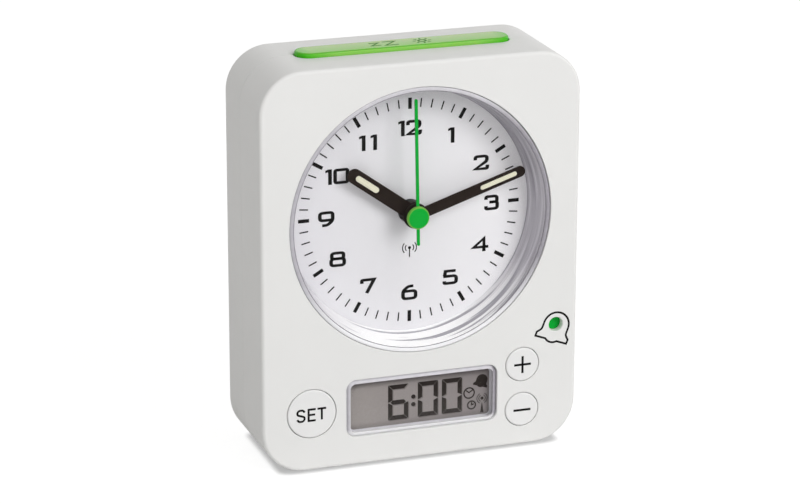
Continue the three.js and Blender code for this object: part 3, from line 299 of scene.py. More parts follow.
def solid(name, verts, faces, clean=True):
    mesh = bpy.data.meshes.new(name)
    mesh.from_pydata(verts, [], faces)
    bm = bmesh.new()
    bm.from_mesh(mesh)
    if clean:
        bmesh.ops.remove_doubles(bm, verts=bm.verts, dist=SAME_POINT)
        bmesh.ops.dissolve_degenerate(bm, edges=bm.edges, dist=1e-5)
    bmesh.ops.recalc_face_normals(bm, faces=bm.faces)
    bm.to_mesh(mesh)
    bm.free()
    return linked(name, mesh)


def loft(name, sections, place=front, ring=False):
    """Joins outlines of one point count at rising levels; the ends are closed, or joined in a ring."""
    count = len(sections[0][0])
    verts = [place(u, v, level) for points, level in sections for u, v in points]
    rows = len(sections)
    faces = []
    for row in range(rows if ring else rows - 1):
        a, b = row * count, (row + 1) % rows * count
        for k in range(count):
            n = (k + 1) % count
            faces.append((a + k, a + n, b + n, b + k))
    if not ring:
        faces.append(tuple(range(count)))
        faces.append(tuple(range((rows - 1) * count, rows * count))[::-1])
    return solid(name, verts, faces)


def skin(name, outline, steps, place=front, ring=False):
    """Lofts an outline through insets and levels."""
    return loft(name, [(outline(inset), level) for inset, level in steps], place, ring)


def turned(name, profile, x=0.0, z=DIAL_Z, sides=CUP_SIDES, place=front, ring=False):
    """Lofts circles through radii and levels."""
    return skin(name, lambda radius: circle(max(radius, 1e-5), x, z, sides), profile, place, ring)


def box(name, x0, x1, y0, y1, z0, z1):
    outline = block(x0, x1, z0, z1)
    return loft(name, [(outline, y0), (outline, y1)])


def soft_box(name, x0, x1, y0, y1, z0, z1, edge):
    """A box whose front-view outline and front and back rims are rounded."""
    outline = rounded(x1 - x0, z1 - z0, edge * 1.2, (x0 + x1) / 2, (z0 + z1) / 2, 5)
    flat = edge + 0.02
    return skin(name, outline, [(flat, y0)] + rim(edge, y0, 4) + rim(edge, y1, 4, -1) + [(flat, y1)])


def combine(obj, others, operation):
    for other in others:
        step = obj.modifiers.new("step", "BOOLEAN")
        step.operation = operation
        step.solver = "EXACT"
        step.object = other
    graph = bpy.context.evaluated_depsgraph_get()
    mesh = bpy.data.meshes.new_from_object(obj.evaluated_get(graph))
    obj.modifiers.clear()
    obj.data = mesh
    for other in others:
        bpy.data.objects.remove(other)
    return obj


def carve(obj, *others):
    return combine(obj, others, "DIFFERENCE")


def weld(obj, *others):
    return combine(obj, others, "UNION")


def merge(name, objs):
    """One mesh object from several."""
    bm = bmesh.new()
    for obj in objs:
        bm.from_mesh(obj.data)
        bpy.data.objects.remove(obj)
    mesh = bpy.data.meshes.new(name)
    bm.to_mesh(mesh)
    bm.free()
    return linked(name, mesh)


def mouth(name, outline, face, end, place=front, lip=MOUTH):
    """A cutter that grows to a rounded mouth at a face."""
    way = 1 if end > face else -1
    lips = [(-grow, level) for grow, level in rim(lip, face, 4, way)[::way]]
    return skin(name, outline, [(-lip, face - way)] + lips + [(0, end)], place)


def round_mouth(name, radius, x, z, lip, face, end, sides=96):
    return mouth(name, lambda inset: circle(radius - inset, x, z, sides), face, end, front, lip)


def offset_loop(loop, distance):
    """Moves a closed loop outward by a distance, or inward where that is negative."""
    area = sum(a[0] * b[1] - b[0] * a[1] for a, b in zip(loop, loop[1:] + loop[:1]))
    sign = distance if area > 0 else -distance
    moved = []
    for k in range(len(loop)):
        before, here, after = (Vector(loop[(k + d) % len(loop)]) for d in (-1, 0, 1))
        one = (here - before).normalized()
        two = (after - here).normalized()
        normal = Vector((one.y + two.y, -one.x - two.x))
        if normal.length < 1e-9:
            normal = Vector((one.y, -one.x))
        normal.normalize()
        square = max(0.4, normal.dot(Vector((one.y, -one.x))))
        moved.append(tuple(here + normal * (sign / square)))
    return moved


def plate(name, outer, holes, level0, level1, edge=BLADE_EDGE):
    """A flat piece with holes; its front rims are broken by an edge."""
    verts, faces, rings = [], [], []
    for index, loop in enumerate([outer] + holes):
        grown = offset_loop(loop, edge if index else -edge)
        count, start = len(loop), len(verts)
        rings.append((start, count))
        for points, level in ((grown, level0), (loop, level0 + edge), (loop, level1)):
            verts += [front(u, v, level) for u, v in points]
        for row in (start, start + count):
            for k in range(count):
                n = (k + 1) % count
                faces.append((row + k, row + n, row + count + n, row + count + k))
    for row in (0, 2):
        group = [range(start + row * count, start + (row + 1) * count) for start, count in rings]
        order = [k for ring in group for k in ring]
        flat = [[Vector((verts[k][0], verts[k][2], 0)) for k in ring] for ring in group]
        faces += [tuple(order[k] for k in triangle) for triangle in tessellate_polygon(flat)]
    return solid(name, verts, faces)


# Printed lines and flat signs; their levels are a front and a back


def rounded_line(points, radii, closed=False):
    """A polyline whose corners are rounded, each by its own radius."""
    steps, count = 5, len(points)
    line = []
    for k, point in enumerate(points):
        if radii[k] == 0 or (not closed and k in (0, count - 1)):
            line.append(point)
            continue
        here = Vector(point)
        one, two = Vector(points[k - 1]) - here, Vector(points[(k + 1) % count]) - here
        reach = min(radii[k], one.length * 0.48, two.length * 0.48)
        start, end = here + one.normalized() * reach, here + two.normalized() * reach
        for s in range(steps + 1):
            t = s / steps
            line.append(tuple(start * (1 - t) ** 2 + here * (2 * t * (1 - t)) + end * t**2))
    return line


def stroke(points, width, levels, place=front, closed=False):
    """Vertices and faces of a thin raised line along a polyline."""
    line = [Vector(points[0])]
    for before, point in zip(points, points[1:]):
        if (Vector(point) - Vector(before)).length > 1e-4:
            line.append(Vector(point))
    count = len(line)
    runs = count if closed else count - 1
    ways = [(line[(k + 1) % count] - line[k]).normalized() for k in range(runs)]
    verts, faces = [], []
    for k, here in enumerate(line):
        one = ways[k - 1] if closed or k else ways[0]
        two = ways[k] if k < runs else ways[-1]
        normal = Vector((-one.y - two.y, one.x + two.x))
        normal.normalize()
        square = max(0.5, normal.dot(Vector((-one.y, one.x))))
        shift = normal * (width / 2 / square)
        verts += [place(*point, level) for level in levels for point in (here + shift, here - shift)]
    for k in range(runs):
        a, b = 4 * k, 4 * ((k + 1) % count)
        faces += [(a, a + 1, b + 1, b), (a + 2, b + 2, b + 3, a + 3)]
        faces += [(a, b, b + 2, a + 2), (a + 1, a + 3, b + 3, b + 1)]
    if not closed:
        last = 4 * (count - 1)
        faces += [(0, 2, 3, 1), (last, last + 1, last + 3, last + 2)]
    return verts, faces


def patch(points, levels):
    """Vertices and faces of a thin raised flat shape."""
    count = len(points)
    verts = [front(u, v, level) for level in levels for u, v in points]
    faces = [(k, (k + 1) % count, count + (k + 1) % count, count + k) for k in range(count)]
    triangles = tessellate_polygon([[Vector((u, v, 0)) for u, v in points]])
    faces += [tuple(t) for t in triangles] + [tuple(count + k for k in t) for t in triangles]
    return verts, faces


def printed(name, shapes):
    verts, faces = [], []
    for some_verts, some_faces in shapes:
        start = len(verts)
        verts += some_verts
        faces += [tuple(start + k for k in face) for face in some_faces]
    return solid(name, verts, faces, False)


# Wide square figures of the dial in a unit box: a width, then the lines. A point has its place and
# the rounding of its corner, as a share of the height.
SIX = [(0.82, 1, 0), (0.42, 1, 0.2), (0, 0.66, 0.2), (0, 0, 0.2), (1, 0, 0.2), (1, 0.6, 0.2)]
SIX += [(0.06, 0.6, 0)]
TWO = [(0, 0.72, 0), (0, 1, 0.16), (1, 1, 0.2), (1, 0.6, 0.16), (0, 0, 0), (1.03, 0, 0.08)]
TWO += [(1.05, 0.28, 0)]
FIGURES = {
    "0": (1.0, [(0, 0, 0.13), (1, 0, 0.13), (1, 1, 0.13), (0, 1, 0.13)]),
    "2": (0.97, TWO),
    "3": (
        0.95,
        [(0, 0.76, 0), (0, 1, 0.16), (0.97, 1, 0.18), (0.97, 0.54, 0.14), (0.3, 0.54, 0)],
        [(0.3, 0.54, 0), (1, 0.54, 0.16), (1, 0, 0.18), (0, 0, 0.16), (0, 0.24, 0)],
    ),
    "4": (1.1, [(0.77, -0.1, 0), (0.77, 0.96, 0), (0, 0.27, 0), (1.1, 0.27, 0)]),
    "5": (
        1.0,
        [(0.95, 1, 0), (0.1, 1, 0), (0.02, 0.6, 0)],
        [(-0.08, 0.58, 0), (1, 0.58, 0.22), (1, 0, 0.22), (0, 0, 0.14), (0, 0.2, 0)],
    ),
    "6": (1.03, SIX),
    "7": (1.03, [(0, 0.72, 0), (0, 1, 0.08), (0.97, 1, 0), (0.38, -0.08, 0)]),
    "8": (
        1.05,
        [(0, 0, 0.2), (1, 0, 0.2), (1, 0.54, 0.2), (0, 0.54, 0.2)],
        [(0.05, 0.54, 0.18), (0.95, 0.54, 0.18), (0.95, 1, 0.18), (0.05, 1, 0.18)],
    ),
    "9": (1.03, [(1 - u, 1 - v, r) for u, v, r in SIX]),
}
# Figures of closed lines
CLOSED = "08"
FIGURE_HEIGHT = 4.3
FIGURE_WIDTH = 4.5
FIGURE_LINE = 1.02
FIGURE_GAP = 0.4
ELEVEN_GAP = 1.4
# Level lines are thinner than upright ones by this share
LEVEL_LINE = 0.78
STEM = 1.05
FLAG = 0.78


def figure_one(left, z, levels):
    """The figure one: a stem with a short flag at its head."""
    stem, foot, head = left + FLAG, z - FIGURE_HEIGHT / 2, z + FIGURE_HEIGHT / 2
    points = [(stem, foot), (stem + STEM, foot), (stem + STEM, head), (stem, head)]
    points += [(left, head - 0.3), (left, head - 0.95), (stem, head - 0.75)]
    return patch(points, levels)


def number(text, x, z, levels):
    """Upright figures centred on a place."""
    high = (FIGURE_HEIGHT - FIGURE_LINE * LEVEL_LINE) / LEVEL_LINE
    gap = ELEVEN_GAP if text == "11" else FIGURE_GAP
    widths = [FIGURES[f][0] * FIGURE_WIDTH if f in FIGURES else STEM + FLAG for f in text]

    def place(u, v, level):
        return front(u, z + v * LEVEL_LINE, level)

    left = x - (sum(widths) + gap * (len(text) - 1)) / 2
    shapes = []
    for figure, width in zip(text, widths):
        if figure == "1":
            shapes.append(figure_one(left, z, levels))
        else:
            wide, closed = width - FIGURE_LINE, figure in CLOSED
            for line in FIGURES[figure][1:]:
                points = [(left + FIGURE_LINE / 2 + u * wide, (v - 0.5) * high) for u, v, _ in line]
                curve = rounded_line(points, [r * high for _, _, r in line], closed)
                shapes.append(stroke(curve, FIGURE_LINE, levels, place, closed))
        left += width + gap
    return shapes


def bars(radius0, radius1, width, angles, levels):
    """Radial marks round the dial's centre."""
    mark = block(-width / 2, width / 2, radius0, radius1)
    return [patch(on_dial(mark, a), levels) for a in angles]


# Materials


def tone(*levels):
    """A colour given in 8-bit display values, as the shader takes it."""
    shares = (level / 255 for level in levels)
    return tuple(v / 12.92 if v <= 0.04045 else ((v + 0.055) / 1.055) ** 2.4 for v in shares) + (1.0,)


def grey(value):
    return (value, value, value, 1.0)


def shade(color, factor):
    return tuple(min(1.0, c * factor) for c in color[:3]) + (1.0,)


class Nodes:
    """An emptied node tree and helpers that add to it. What goes into an input is a value or an output."""

    def __init__(self, tree):
        self.tree = tree
        tree.nodes.clear()

    def feed(self, socket, value):
        if isinstance(value, bpy.types.NodeSocket):
            self.tree.links.new(value, socket)
        else:
            socket.default_value = value

    def fill(self, node, first, *values):
        """Feeds a node's inputs in their order, from a first one on."""
        for k, value in enumerate(values, first):
            self.feed(node.inputs[k], value)
        return node.outputs

    def give(self, node, values):
        """Feeds a node's inputs by their names."""
        for name, value in values.items():
            self.feed(node.inputs[name.replace("_", " ")], value)
        return node

    def add(self, kind, **values):
        return self.give(self.tree.nodes.new(kind), values)

    def math(self, operation, *values):
        node = self.add("ShaderNodeMath")
        node.operation = operation
        return self.fill(node, 0, *values)["Value"]

    def vector(self, operation, *values):
        node = self.add("ShaderNodeVectorMath")
        node.operation = operation
        return self.fill(node, 0, *values)

    def mix(self, factor, one, two):
        return self.fill(self.add("ShaderNodeMixShader"), 0, factor, one, two)["Shader"]

    def path(self):
        return self.add("ShaderNodeLightPath").outputs


class Surface(Nodes):
    """A material with a principled shader and helpers for its texture."""

    def __init__(self, name):
        self.material = bpy.data.materials.new(name)
        self.material.use_nodes = True
        super().__init__(self.material.node_tree)
        self.output = self.add("ShaderNodeOutputMaterial")
        self.shader = self.add("ShaderNodeBsdfPrincipled")
        self.plain = self.shader.outputs["BSDF"]
        self.show(self.plain)
        self.coords = self.add("ShaderNodeTexCoord").outputs["Object"]

    def show(self, shader):
        self.feed(self.output.inputs["Surface"], shader)

    def set(self, **values):
        self.give(self.shader, values)

    def axes(self, vector=None):
        return self.add("ShaderNodeSeparateXYZ", Vector=vector or self.coords).outputs

    def stretched(self, scale, vector=None):
        return self.add("ShaderNodeMapping", Scale=scale, Vector=vector or self.coords).outputs["Vector"]

    def noise(self, scale, detail, vector=None):
        node = self.add("ShaderNodeTexNoise", Scale=scale, Detail=detail, Vector=vector or self.coords)
        return node.outputs["Fac"]

    def spread(self, value, low, high, start=0.3, end=0.7):
        ends = {"From_Min": start, "From_Max": end, "To_Min": low, "To_Max": high}
        return self.add("ShaderNodeMapRange", Value=value, **ends).outputs["Result"]

    def cloud(self, scale=28.0, detail=3.0):
        return self.spread(self.noise(scale, detail), 0.0, 1.0)

    def ramp(self, place, start, end, high=1.0):
        """Goes from nothing to a height between two places, which are given in millimetres."""
        return self.spread(place, 0.0, high, start * MM, end * MM)

    def blend(self, value, one, two):
        node = self.add("ShaderNodeMix", Factor=value)
        node.data_type = "RGBA"
        return self.fill(node, 6, one, two)[2]

    def finish(self, color, gloss, rough, patches, grain, depth):
        """Colour, gloss, uneven roughness in patches, and a grain with its depth.

        The patches and the grain are each an output or a noise's scale and detail.
        """
        uneven, height = (self.noise(*t) if isinstance(t, tuple) else t for t in (patches, grain))
        bump = self.add("ShaderNodeBump", Distance=depth, Strength=1.0, Height=height)
        self.set(Base_Color=color, Specular_IOR_Level=gloss, Roughness=self.spread(uneven, *rough))
        self.set(Normal=bump.outputs["Normal"])
        return self


GLOSS_PATCHES = (310.0, 4.0)


def moulded(name, color, rough, grain=2400.0, depth=6e-6, vary=0.03, gloss=0.5):
    """Moulded plastic: fine spark-eroded grain, cloudy colour and uneven gloss."""
    s = Surface(name)
    paint = s.blend(s.cloud(), shade(color, 1 - vary), shade(color, 1 + vary))
    return s.finish(paint, gloss, (rough - 0.06, rough + 0.06), GLOSS_PATCHES, (grain, 2.0), depth)


def metal(name, color, rough):
    """Plated or stamped metal with drawn lines and dull patches."""
    s = Surface(name)
    lines = s.noise(500.0, 3.0, s.stretched((1.0, 40.0, 1.0)))
    s.set(Metallic=1.0)
    paint = s.blend(s.cloud(160.0), shade(color, 0.86), color)
    return s.finish(paint, 0.5, (rough - 0.08, rough + 0.12), lines, lines, 4e-6)


def dial_white():
    """Matt painted dial, with painted light that makes it a little whiter towards its right, where the
    cup's wall shades it.
    """
    s = Surface("dial_white")
    paint = s.blend(s.cloud(), tone(234, 233, 237), tone(238, 237, 241))
    # Painted light: whiter towards the right, lifting the shade the cup's wall casts on the dial.
    paint = s.blend(s.ramp(s.axes()["X"], -4.0, 32.0), paint, tone(253, 252, 255))
    return s.finish(paint, 0.2, (0.56, 0.68), GLOSS_PATCHES, (5200.0, 2.0), 3e-6)


def hand_green():
    """The second hand's green paint, with a painted highlight: a paler ring round the cap's edge."""
    s = Surface("hand_green")
    level = s.vector("MULTIPLY", s.coords, (1.0, 0.0, 1.0))["Vector"]
    reach = s.vector("DISTANCE", level, DIAL_CENTRE)["Value"]
    paint = s.blend(s.cloud(), tone(6, 170, 54), tone(10, 180, 58))
    # Painted highlight: a paler ring on the cap's rounded edge, where it would catch the light.
    ring = s.math("MULTIPLY", s.ramp(reach, 2.68, 2.9), s.ramp(reach, 3.3, 3.2))
    paint = s.blend(ring, paint, tone(122, 190, 76))
    return s.finish(paint, 0.12, (0.28, 0.4), GLOSS_PATCHES, (2600.0, 2.0), 2e-6)


def lime_plastic():
    """Translucent light bar: a painted reflection of the sky makes it paler along its back, a painted shade
    line runs at its brim, and it is deeper green at its ends.
    """
    s = Surface("lime_plastic")
    x, y, z = s.axes()
    ends = s.math("ABSOLUTE", x)
    near = s.blend(s.cloud(60.0, 2.0), tone(130, 203, 68), tone(138, 207, 78))
    # Painted reflection of the sky: the top grows paler towards its back.
    upper = s.blend(s.ramp(y, -4.0, 4.0), near, tone(184, 213, 146))
    crown = s.blend(s.ramp(ends, 26.0, 29.6), upper, tone(92, 197, 22))
    wall = s.blend(s.ramp(ends, 20.0, 28.5), tone(140, 206, 88), tone(66, 187, 8))
    # Painted shade: a dark line along the top of the wall, at the brim.
    sides = s.blend(s.ramp(z, BAR_TOP - 0.32, BAR_TOP - 0.16), wall, tone(92, 178, 46))
    paint = s.blend(s.ramp(z, BAR_TOP - 0.1, BAR_TOP - 0.04), sides, crown)
    s.set(Subsurface_Weight=0.2, Subsurface_Scale=MM)
    return s.finish(paint, 0.22, (0.16, 0.24), (420.0, 3.0), (900.0, 2.0), 6e-7)


def clear_plastic():
    """Polished clear plastic that lets the light to what lies behind it."""
    s = Surface("clear_plastic")
    s.set(Transmission_Weight=1.0, IOR=1.49)
    path = s.path()
    lit = s.math("MAXIMUM", path["Is Shadow Ray"], path["Is Diffuse Ray"])
    s.show(s.mix(lit, s.plain, s.add("ShaderNodeBsdfTransparent").outputs["BSDF"]))
    return s.finish(grey(1.0), 0.03, (0.0, 0.03), (240.0, 3.0), (60.0, 1.0), 3e-7)


def cup_wall():
    """The cup's wall: long streaks round it, sides painted grey and darker towards the top as shade, and a
    foot painted white with a faint glow, a painted light for the light a clear wall gathers.
    """
    s = Surface("cup_wall")
    x, y, down = s.axes(s.vector("SUBTRACT", DIAL_CENTRE, s.coords)["Vector"])
    along = s.add("ShaderNodeCombineXYZ", X=s.math("ARCTAN2", x, down), Y=y).outputs["Vector"]
    streaks = s.noise(1.6, 3.0, s.stretched((0.45, 460.0, 1.0), along))
    depth = s.spread(streaks, 0.0, 1.0, 0.36, 0.62)
    # Painted shade: the sides are grey, and darker still in the wall's upper part.
    sides = s.blend(depth, tone(160, 156, 166), tone(220, 217, 224))
    upper = s.blend(depth, tone(126, 123, 132), tone(178, 175, 183))
    sides = s.blend(s.ramp(down, -4.0, -24.0), sides, upper)
    # Painted light: the foot is near white, and its white streaks glow faintly through the emission, though
    # the wall is no lamp.
    white = s.spread(streaks, 0.0, 1.0, 0.4, 0.47)
    foot = s.blend(white, tone(182, 180, 188), grey(1.0))
    painted_glow = s.math("MULTIPLY", s.ramp(down, 16.0, 35.0, 0.2), white)
    s.set(Emission_Color=grey(1.0), Emission_Strength=painted_glow)
    paint = s.blend(s.ramp(down, 15.0, 34.0), sides, foot)
    return s.finish(paint, 0.3, (0.34, 0.18), streaks, streaks, 1e-5)


def display_grey():
    """Grey reflective display: darker to its right, with a painted shadow under its frame and a fine grain.
    """
    s = Surface("display_grey")
    x, _, z = s.axes()
    tones = s.blend(s.ramp(x, -21.0, 22.0), tone(166, 160, 157), tone(142, 135, 136))
    # Painted shadow: dark bands along the top, bottom and right edges, under the frame.
    shadow = s.math("MAXIMUM", s.ramp(z, 20.8, 22.7, 0.85), s.ramp(z, 11.0, 9.6, 0.4))
    shadow = s.math("MAXIMUM", shadow, s.ramp(x, 19.3, 20.5, 0.6))
    framed = s.blend(shadow, tones, tone(84, 78, 79))
    paint = s.blend(s.spread(s.noise(3600.0, 1.0), 0.0, 0.4), framed, tone(140, 134, 133))
    return s.finish(paint, 0.2, (0.3, 0.42), (900.0, 2.0), (5200.0, 1.0), 1e-6)


def coil_copper():
    """Fine enamelled wire, wound side by side along x."""
    s = Surface("coil_copper")
    copper = tone(190, 112, 60)
    wave = s.add("ShaderNodeTexWave", Scale=5200.0, Distortion=0.4, Vector=s.coords)
    wave.bands_direction = "X"
    turns = wave.outputs["Fac"]
    s.set(Metallic=0.85)
    paint = s.blend(turns, shade(copper, 0.55), copper)
    return s.finish(paint, 0.5, (0.28, 0.45), (700.0, 2.0), turns, 3e-5)


def board_green():
    """Lacquered board: tracks stand out under the lacquer."""
    s = Surface("board_green")
    lacquer = tone(48, 110, 72)
    cells = s.add("ShaderNodeTexVoronoi", Scale=330.0, Vector=s.coords)
    cells.distance = "CHEBYCHEV"
    tracks = s.spread(cells.outputs["Distance"], 0.0, 1.0, 0.36, 0.44)
    paint = s.blend(tracks, shade(lacquer, 0.8), shade(lacquer, 1.25))
    return s.finish(paint, 0.5, (0.3, 0.45), (800.0, 2.0), tracks, 1.2e-5)


def cell_sleeve(name, sign):
    """A cell's sleeve: bright metal film with a warm band at the end that carries the nub."""
    s = Surface(name)
    band = s.ramp(s.math("MULTIPLY", s.axes()["X"], sign), 9.8, 10.1)
    film = s.noise(260.0, 3.0, s.stretched((1.0, 14.0, 14.0)))
    bright = s.blend(film, tone(150, 152, 156), tone(186, 188, 192))
    warm = s.blend(film, tone(176, 120, 62), tone(206, 150, 88))
    s.set(Metallic=0.8)
    return s.finish(s.blend(band, bright, warm), 0.5, (0.22, 0.38), film, (1500.0, 2.0), 2e-6)


def ink(name, color):
    """Printed ink, also used for painted shade lines and painted shadows: slightly uneven cover and gloss.
    """
    s = Surface(name)
    cover = s.blend(s.cloud(2600.0), shade(color, 0.85), shade(color, 1.25))
    return s.finish(cover, 0.1, (0.4, 0.55), (1800.0, 2.0), (5200.0, 2.0), 1.5e-6)


def clear_rim(name, low, high, near, far):
    """A clear part's rim: its foot is painted near white for the light it gathers, up to a height, and its
    sides are painted grey as shade, darker on the right than on the left.
    """
    s = Surface(name)
    x, _, z = s.axes()
    streaks = s.cloud(500.0, 2.0)
    pale = s.blend(streaks, tone(206, 204, 210), tone(216, 214, 220))
    left = s.blend(streaks, tone(182, 179, 187), tone(192, 190, 197))
    right = s.blend(streaks, tone(156, 153, 161), tone(170, 167, 175))
    # Painted shade: the rim's sides go grey, more so on the right.
    sides = s.blend(s.ramp(x, near, far), pale, right)
    sides = s.blend(s.ramp(x, -near, -far), sides, left)
    # Painted light: near white below a height, where light gathers in the clear rim.
    paint = s.blend(s.ramp(z, high, low), sides, tone(248, 248, 251))
    return s.finish(paint, 0.3, (0.12, 0.24), (300.0, 2.0), (800.0, 2.0), 1e-6)


# Plastics: colour, roughness, the grain's scale and depth, how far the colour varies, gloss
PLASTICS = {
    "white_plastic": (tone(233, 233, 232), 0.44, 2600.0, 7e-6, 0.012),
    "button_plastic": (tone(235, 235, 235), 0.36, 2600.0, 3e-6, 0.012),
    "green_plastic": (tone(8, 176, 56), 0.34, 2600.0, 2e-6, 0.05, 0.12),
    "natural_plastic": (tone(222, 216, 202), 0.5),
    "hand_black": (tone(40, 31, 27), 0.5, 4200.0, 2e-6, 0.06, 0.12),
    "glow_cream": (tone(236, 233, 210), 0.7, 5200.0, 1e-5, 0.03),
    "black_plastic": (tone(40, 40, 43), 0.46, 2400.0, 6e-6, 0.08),
    "wheel_plastic": (tone(208, 200, 174), 0.42),
    "rubber_grey": (tone(122, 122, 128), 0.8, 3000.0, 1e-5, 0.05),
    "ferrite_grey": (tone(62, 61, 64), 0.75, 2000.0, 2e-5, 0.1),
}
METALS = {
    "brass_sheet": (tone(204, 170, 96), 0.3),
    "motor_steel": (tone(186, 188, 190), 0.36),
    "fitting_steel": (tone(196, 196, 196), 0.26),
}
SLOTS = {
    "lime_plastic": lime_plastic(),
    "clear_plastic": clear_plastic(),
    "dial_white": dial_white(),
    "coil_copper": coil_copper(),
    "display_grey": display_grey(),
    "board_green": board_green(),
    "cell_sleeve": cell_sleeve("cell_sleeve", 1.0),
}
SLOTS.update({name: moulded(name, *look) for name, look in PLASTICS.items()})
SLOTS.update({name: metal(name, *look) for name, look in METALS.items()})
CELL_TURNED = cell_sleeve("cell_sleeve_turned", -1.0)
CUP_WALL = cup_wall()
HAND_GREEN = hand_green()
CUP_RIM = clear_rim("cup_rim", 36.0, 54.0, 17.0, 31.0)
WINDOW_RIM = clear_rim("window_rim", 9.0, 10.2, 20.4, 21.0)
# A painted shade line round the pane's lip, made with the ink material.
RIM_LINE = ink("rim_line", tone(138, 135, 142))
INK = ink("print_ink", tone(26, 24, 24))
SEGMENT = ink("display_segment", tone(45, 39, 37))
# Painted shadows of the display's figures: grey copies set a little right and down.
SEGMENT_SHADOW = ink("display_segment_shadow", tone(126, 120, 119))
BAR_SIGN = ink("bar_sign", tone(62, 122, 34))
BEZEL = moulded("display_bezel", tone(226, 225, 231), 0.4, 2600.0, 2e-6, 0.02)

for entry in frame["record"]["subparts"]:
    node = frame["nodes"][entry["node"]]
    node.data.materials.clear()
    node.data.materials.append(SLOTS[entry["material_slot"]].material)


SHARP = math.radians(32.0)


def piece(obj, body, slot, *nodes, surface=None):
    """Brings a finished piece to metres, gives it its material and lets it ride on a body."""
    mesh = obj.data
    mesh.transform(Matrix.Scale(MM, 4))
    mesh.materials.clear()
    mesh.materials.append((surface or SLOTS[slot]).material)
    mesh.shade_smooth()
    mesh.set_sharp_from_angle(angle=SHARP)
    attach(obj, body)
    if nodes:
        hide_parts(*nodes)


def even(obj):
    """Lets the large flat faces set the shading along their rims."""
    obj.modifiers.new("even", "WEIGHTED_NORMAL").keep_sharp = True
    return obj


def inked(obj, body):
    piece(obj, body, "hand_black", surface=INK)


# Case


case_outline = rounded(CASE_WIDTH, CASE_HEIGHT, CORNER, 0, CASE_HEIGHT / 2, 18)


def bar_slot():
    outline = rounded(BAR_LENGTH + 2 * SLIP, BAR_WIDTH + 2 * SLIP, BAR_SLOT_CORNER, 0, BAR_DEPTH, 14)
    return mouth("bar_slot", outline, CASE_HEIGHT, INNER_TOP - PAST, top)


def slider_slot():
    height = KNOB_LENGTH + SLIDER_TRAVEL + 2 * SLIP
    outline = rounded(KNOB_WIDTH + 2 * SLIP, height, 0.6, SLIDER_DEPTH, FLAG_Z - SLIDER_TRAVEL / 2, 6)
    return mouth("slider_slot", outline, CASE_WIDTH / 2, CASE_WIDTH / 2 - 2 * WALL, side)


def front_shell():
    display = rounded(DISPLAY_WIDTH, DISPLAY_HEIGHT, DISPLAY_CORNER, DISPLAY_X, DISPLAY_Z, 10)
    steps = [(FRONT_EDGE + BAND, 0.0)] + rim(FRONT_EDGE, 0.0, 7)
    steps += [(0, FRONT_EDGE + BAND), (0, SHELL_BACK - SEAM_FLAT)]
    steps += rim(SEAM_EDGE, SHELL_BACK, 2, -1) + [(WALL, SHELL_BACK), (WALL, WALL)]
    shell = skin("front_shell_finish", case_outline, steps)
    end = WALL + PAST
    cutters = [
        round_mouth("opening", OPENING, 0, DIAL_Z, MOUTH, 0, end, CUP_SIDES),
        mouth("display_hole", display, 0, end),
        round_mouth("flag_hole", FLAG_HOLE, FLAG_X, FLAG_Z, FLAG_MOUTH, 0, end, 48),
        bar_slot(),
        slider_slot(),
    ]
    for name, (x, z, radius) in BUTTONS.items():
        cutters.append(round_mouth(name + "_hole", radius + SLIP, x, z, BUTTON_MOUTH, 0, end))
    return carve(shell, *cutters)


def sound_slot(step):
    half = math.sqrt(SOUND_RADIUS**2 - step**2)
    outline = rounded(2 * half, SOUND_SLOT, 0.69, 0, SOUND_Z + step, 6)
    return mouth("sound_slot", outline, CASE_DEPTH, INNER_BACK - PAST)


def door_recess():
    outline = rounded(2 * DOOR_HALF, DOOR_HIGH - DOOR_LOW, 0.8, 0, (DOOR_LOW + DOOR_HIGH) / 2, 5)
    return mouth("door_recess", outline, CASE_DEPTH, INNER_BACK - 0.1)


def rear_cover():
    steps = [(WALL, INNER_BACK), (WALL, TONGUE_BACK), (TONGUE_INNER, TONGUE_BACK)]
    steps += [(TONGUE_INNER, TONGUE_FRONT), (TONGUE_OUTER, TONGUE_FRONT), (TONGUE_OUTER, COVER_FRONT)]
    steps += rim(SEAM_EDGE, COVER_FRONT, 2)
    steps += [(0, COVER_FRONT + SEAM_FLAT), (0, CASE_DEPTH - REAR_EDGE - BAND)]
    steps += rim(REAR_EDGE, CASE_DEPTH, 10, -1) + [(REAR_EDGE + BAND, CASE_DEPTH)]
    cover = skin("rear_cover_finish", case_outline, steps)
    sleeve = block(0, SLEEVE_RADIUS, SLEEVE_FRONT, SLEEVE_BACK)
    sleeves = [turned("sleeve", sleeve, x, z, 48) for x, z in SCREWS]
    cover = weld(cover, box("bay", *BAY), *sleeves)
    cutters = [box("bar_gap", *BAR_GAP), box("bay_room", *BAY_ROOM), door_recess(), bar_slot()]
    pocket = HOOK_HALF + SLIP
    cutters += [box("hook_pocket", x - pocket, x + pocket, 28.4, 31.0, 2.8, 7.5) for x in HOOKS]
    cutters += [sound_slot((k - 2) * SOUND_PITCH) for k in range(5)]
    for x, z in SCREWS:
        cutters.append(round_mouth("screw_well", SCREW_HEAD + SLIP, x, z, 0.3, CASE_DEPTH, SCREW_SEAT, 48))
    return carve(cover, *cutters)


piece(even(front_shell()), "case", "white_plastic", "front_shell")
piece(even(rear_cover()), "case", "white_plastic", "rear_cover")


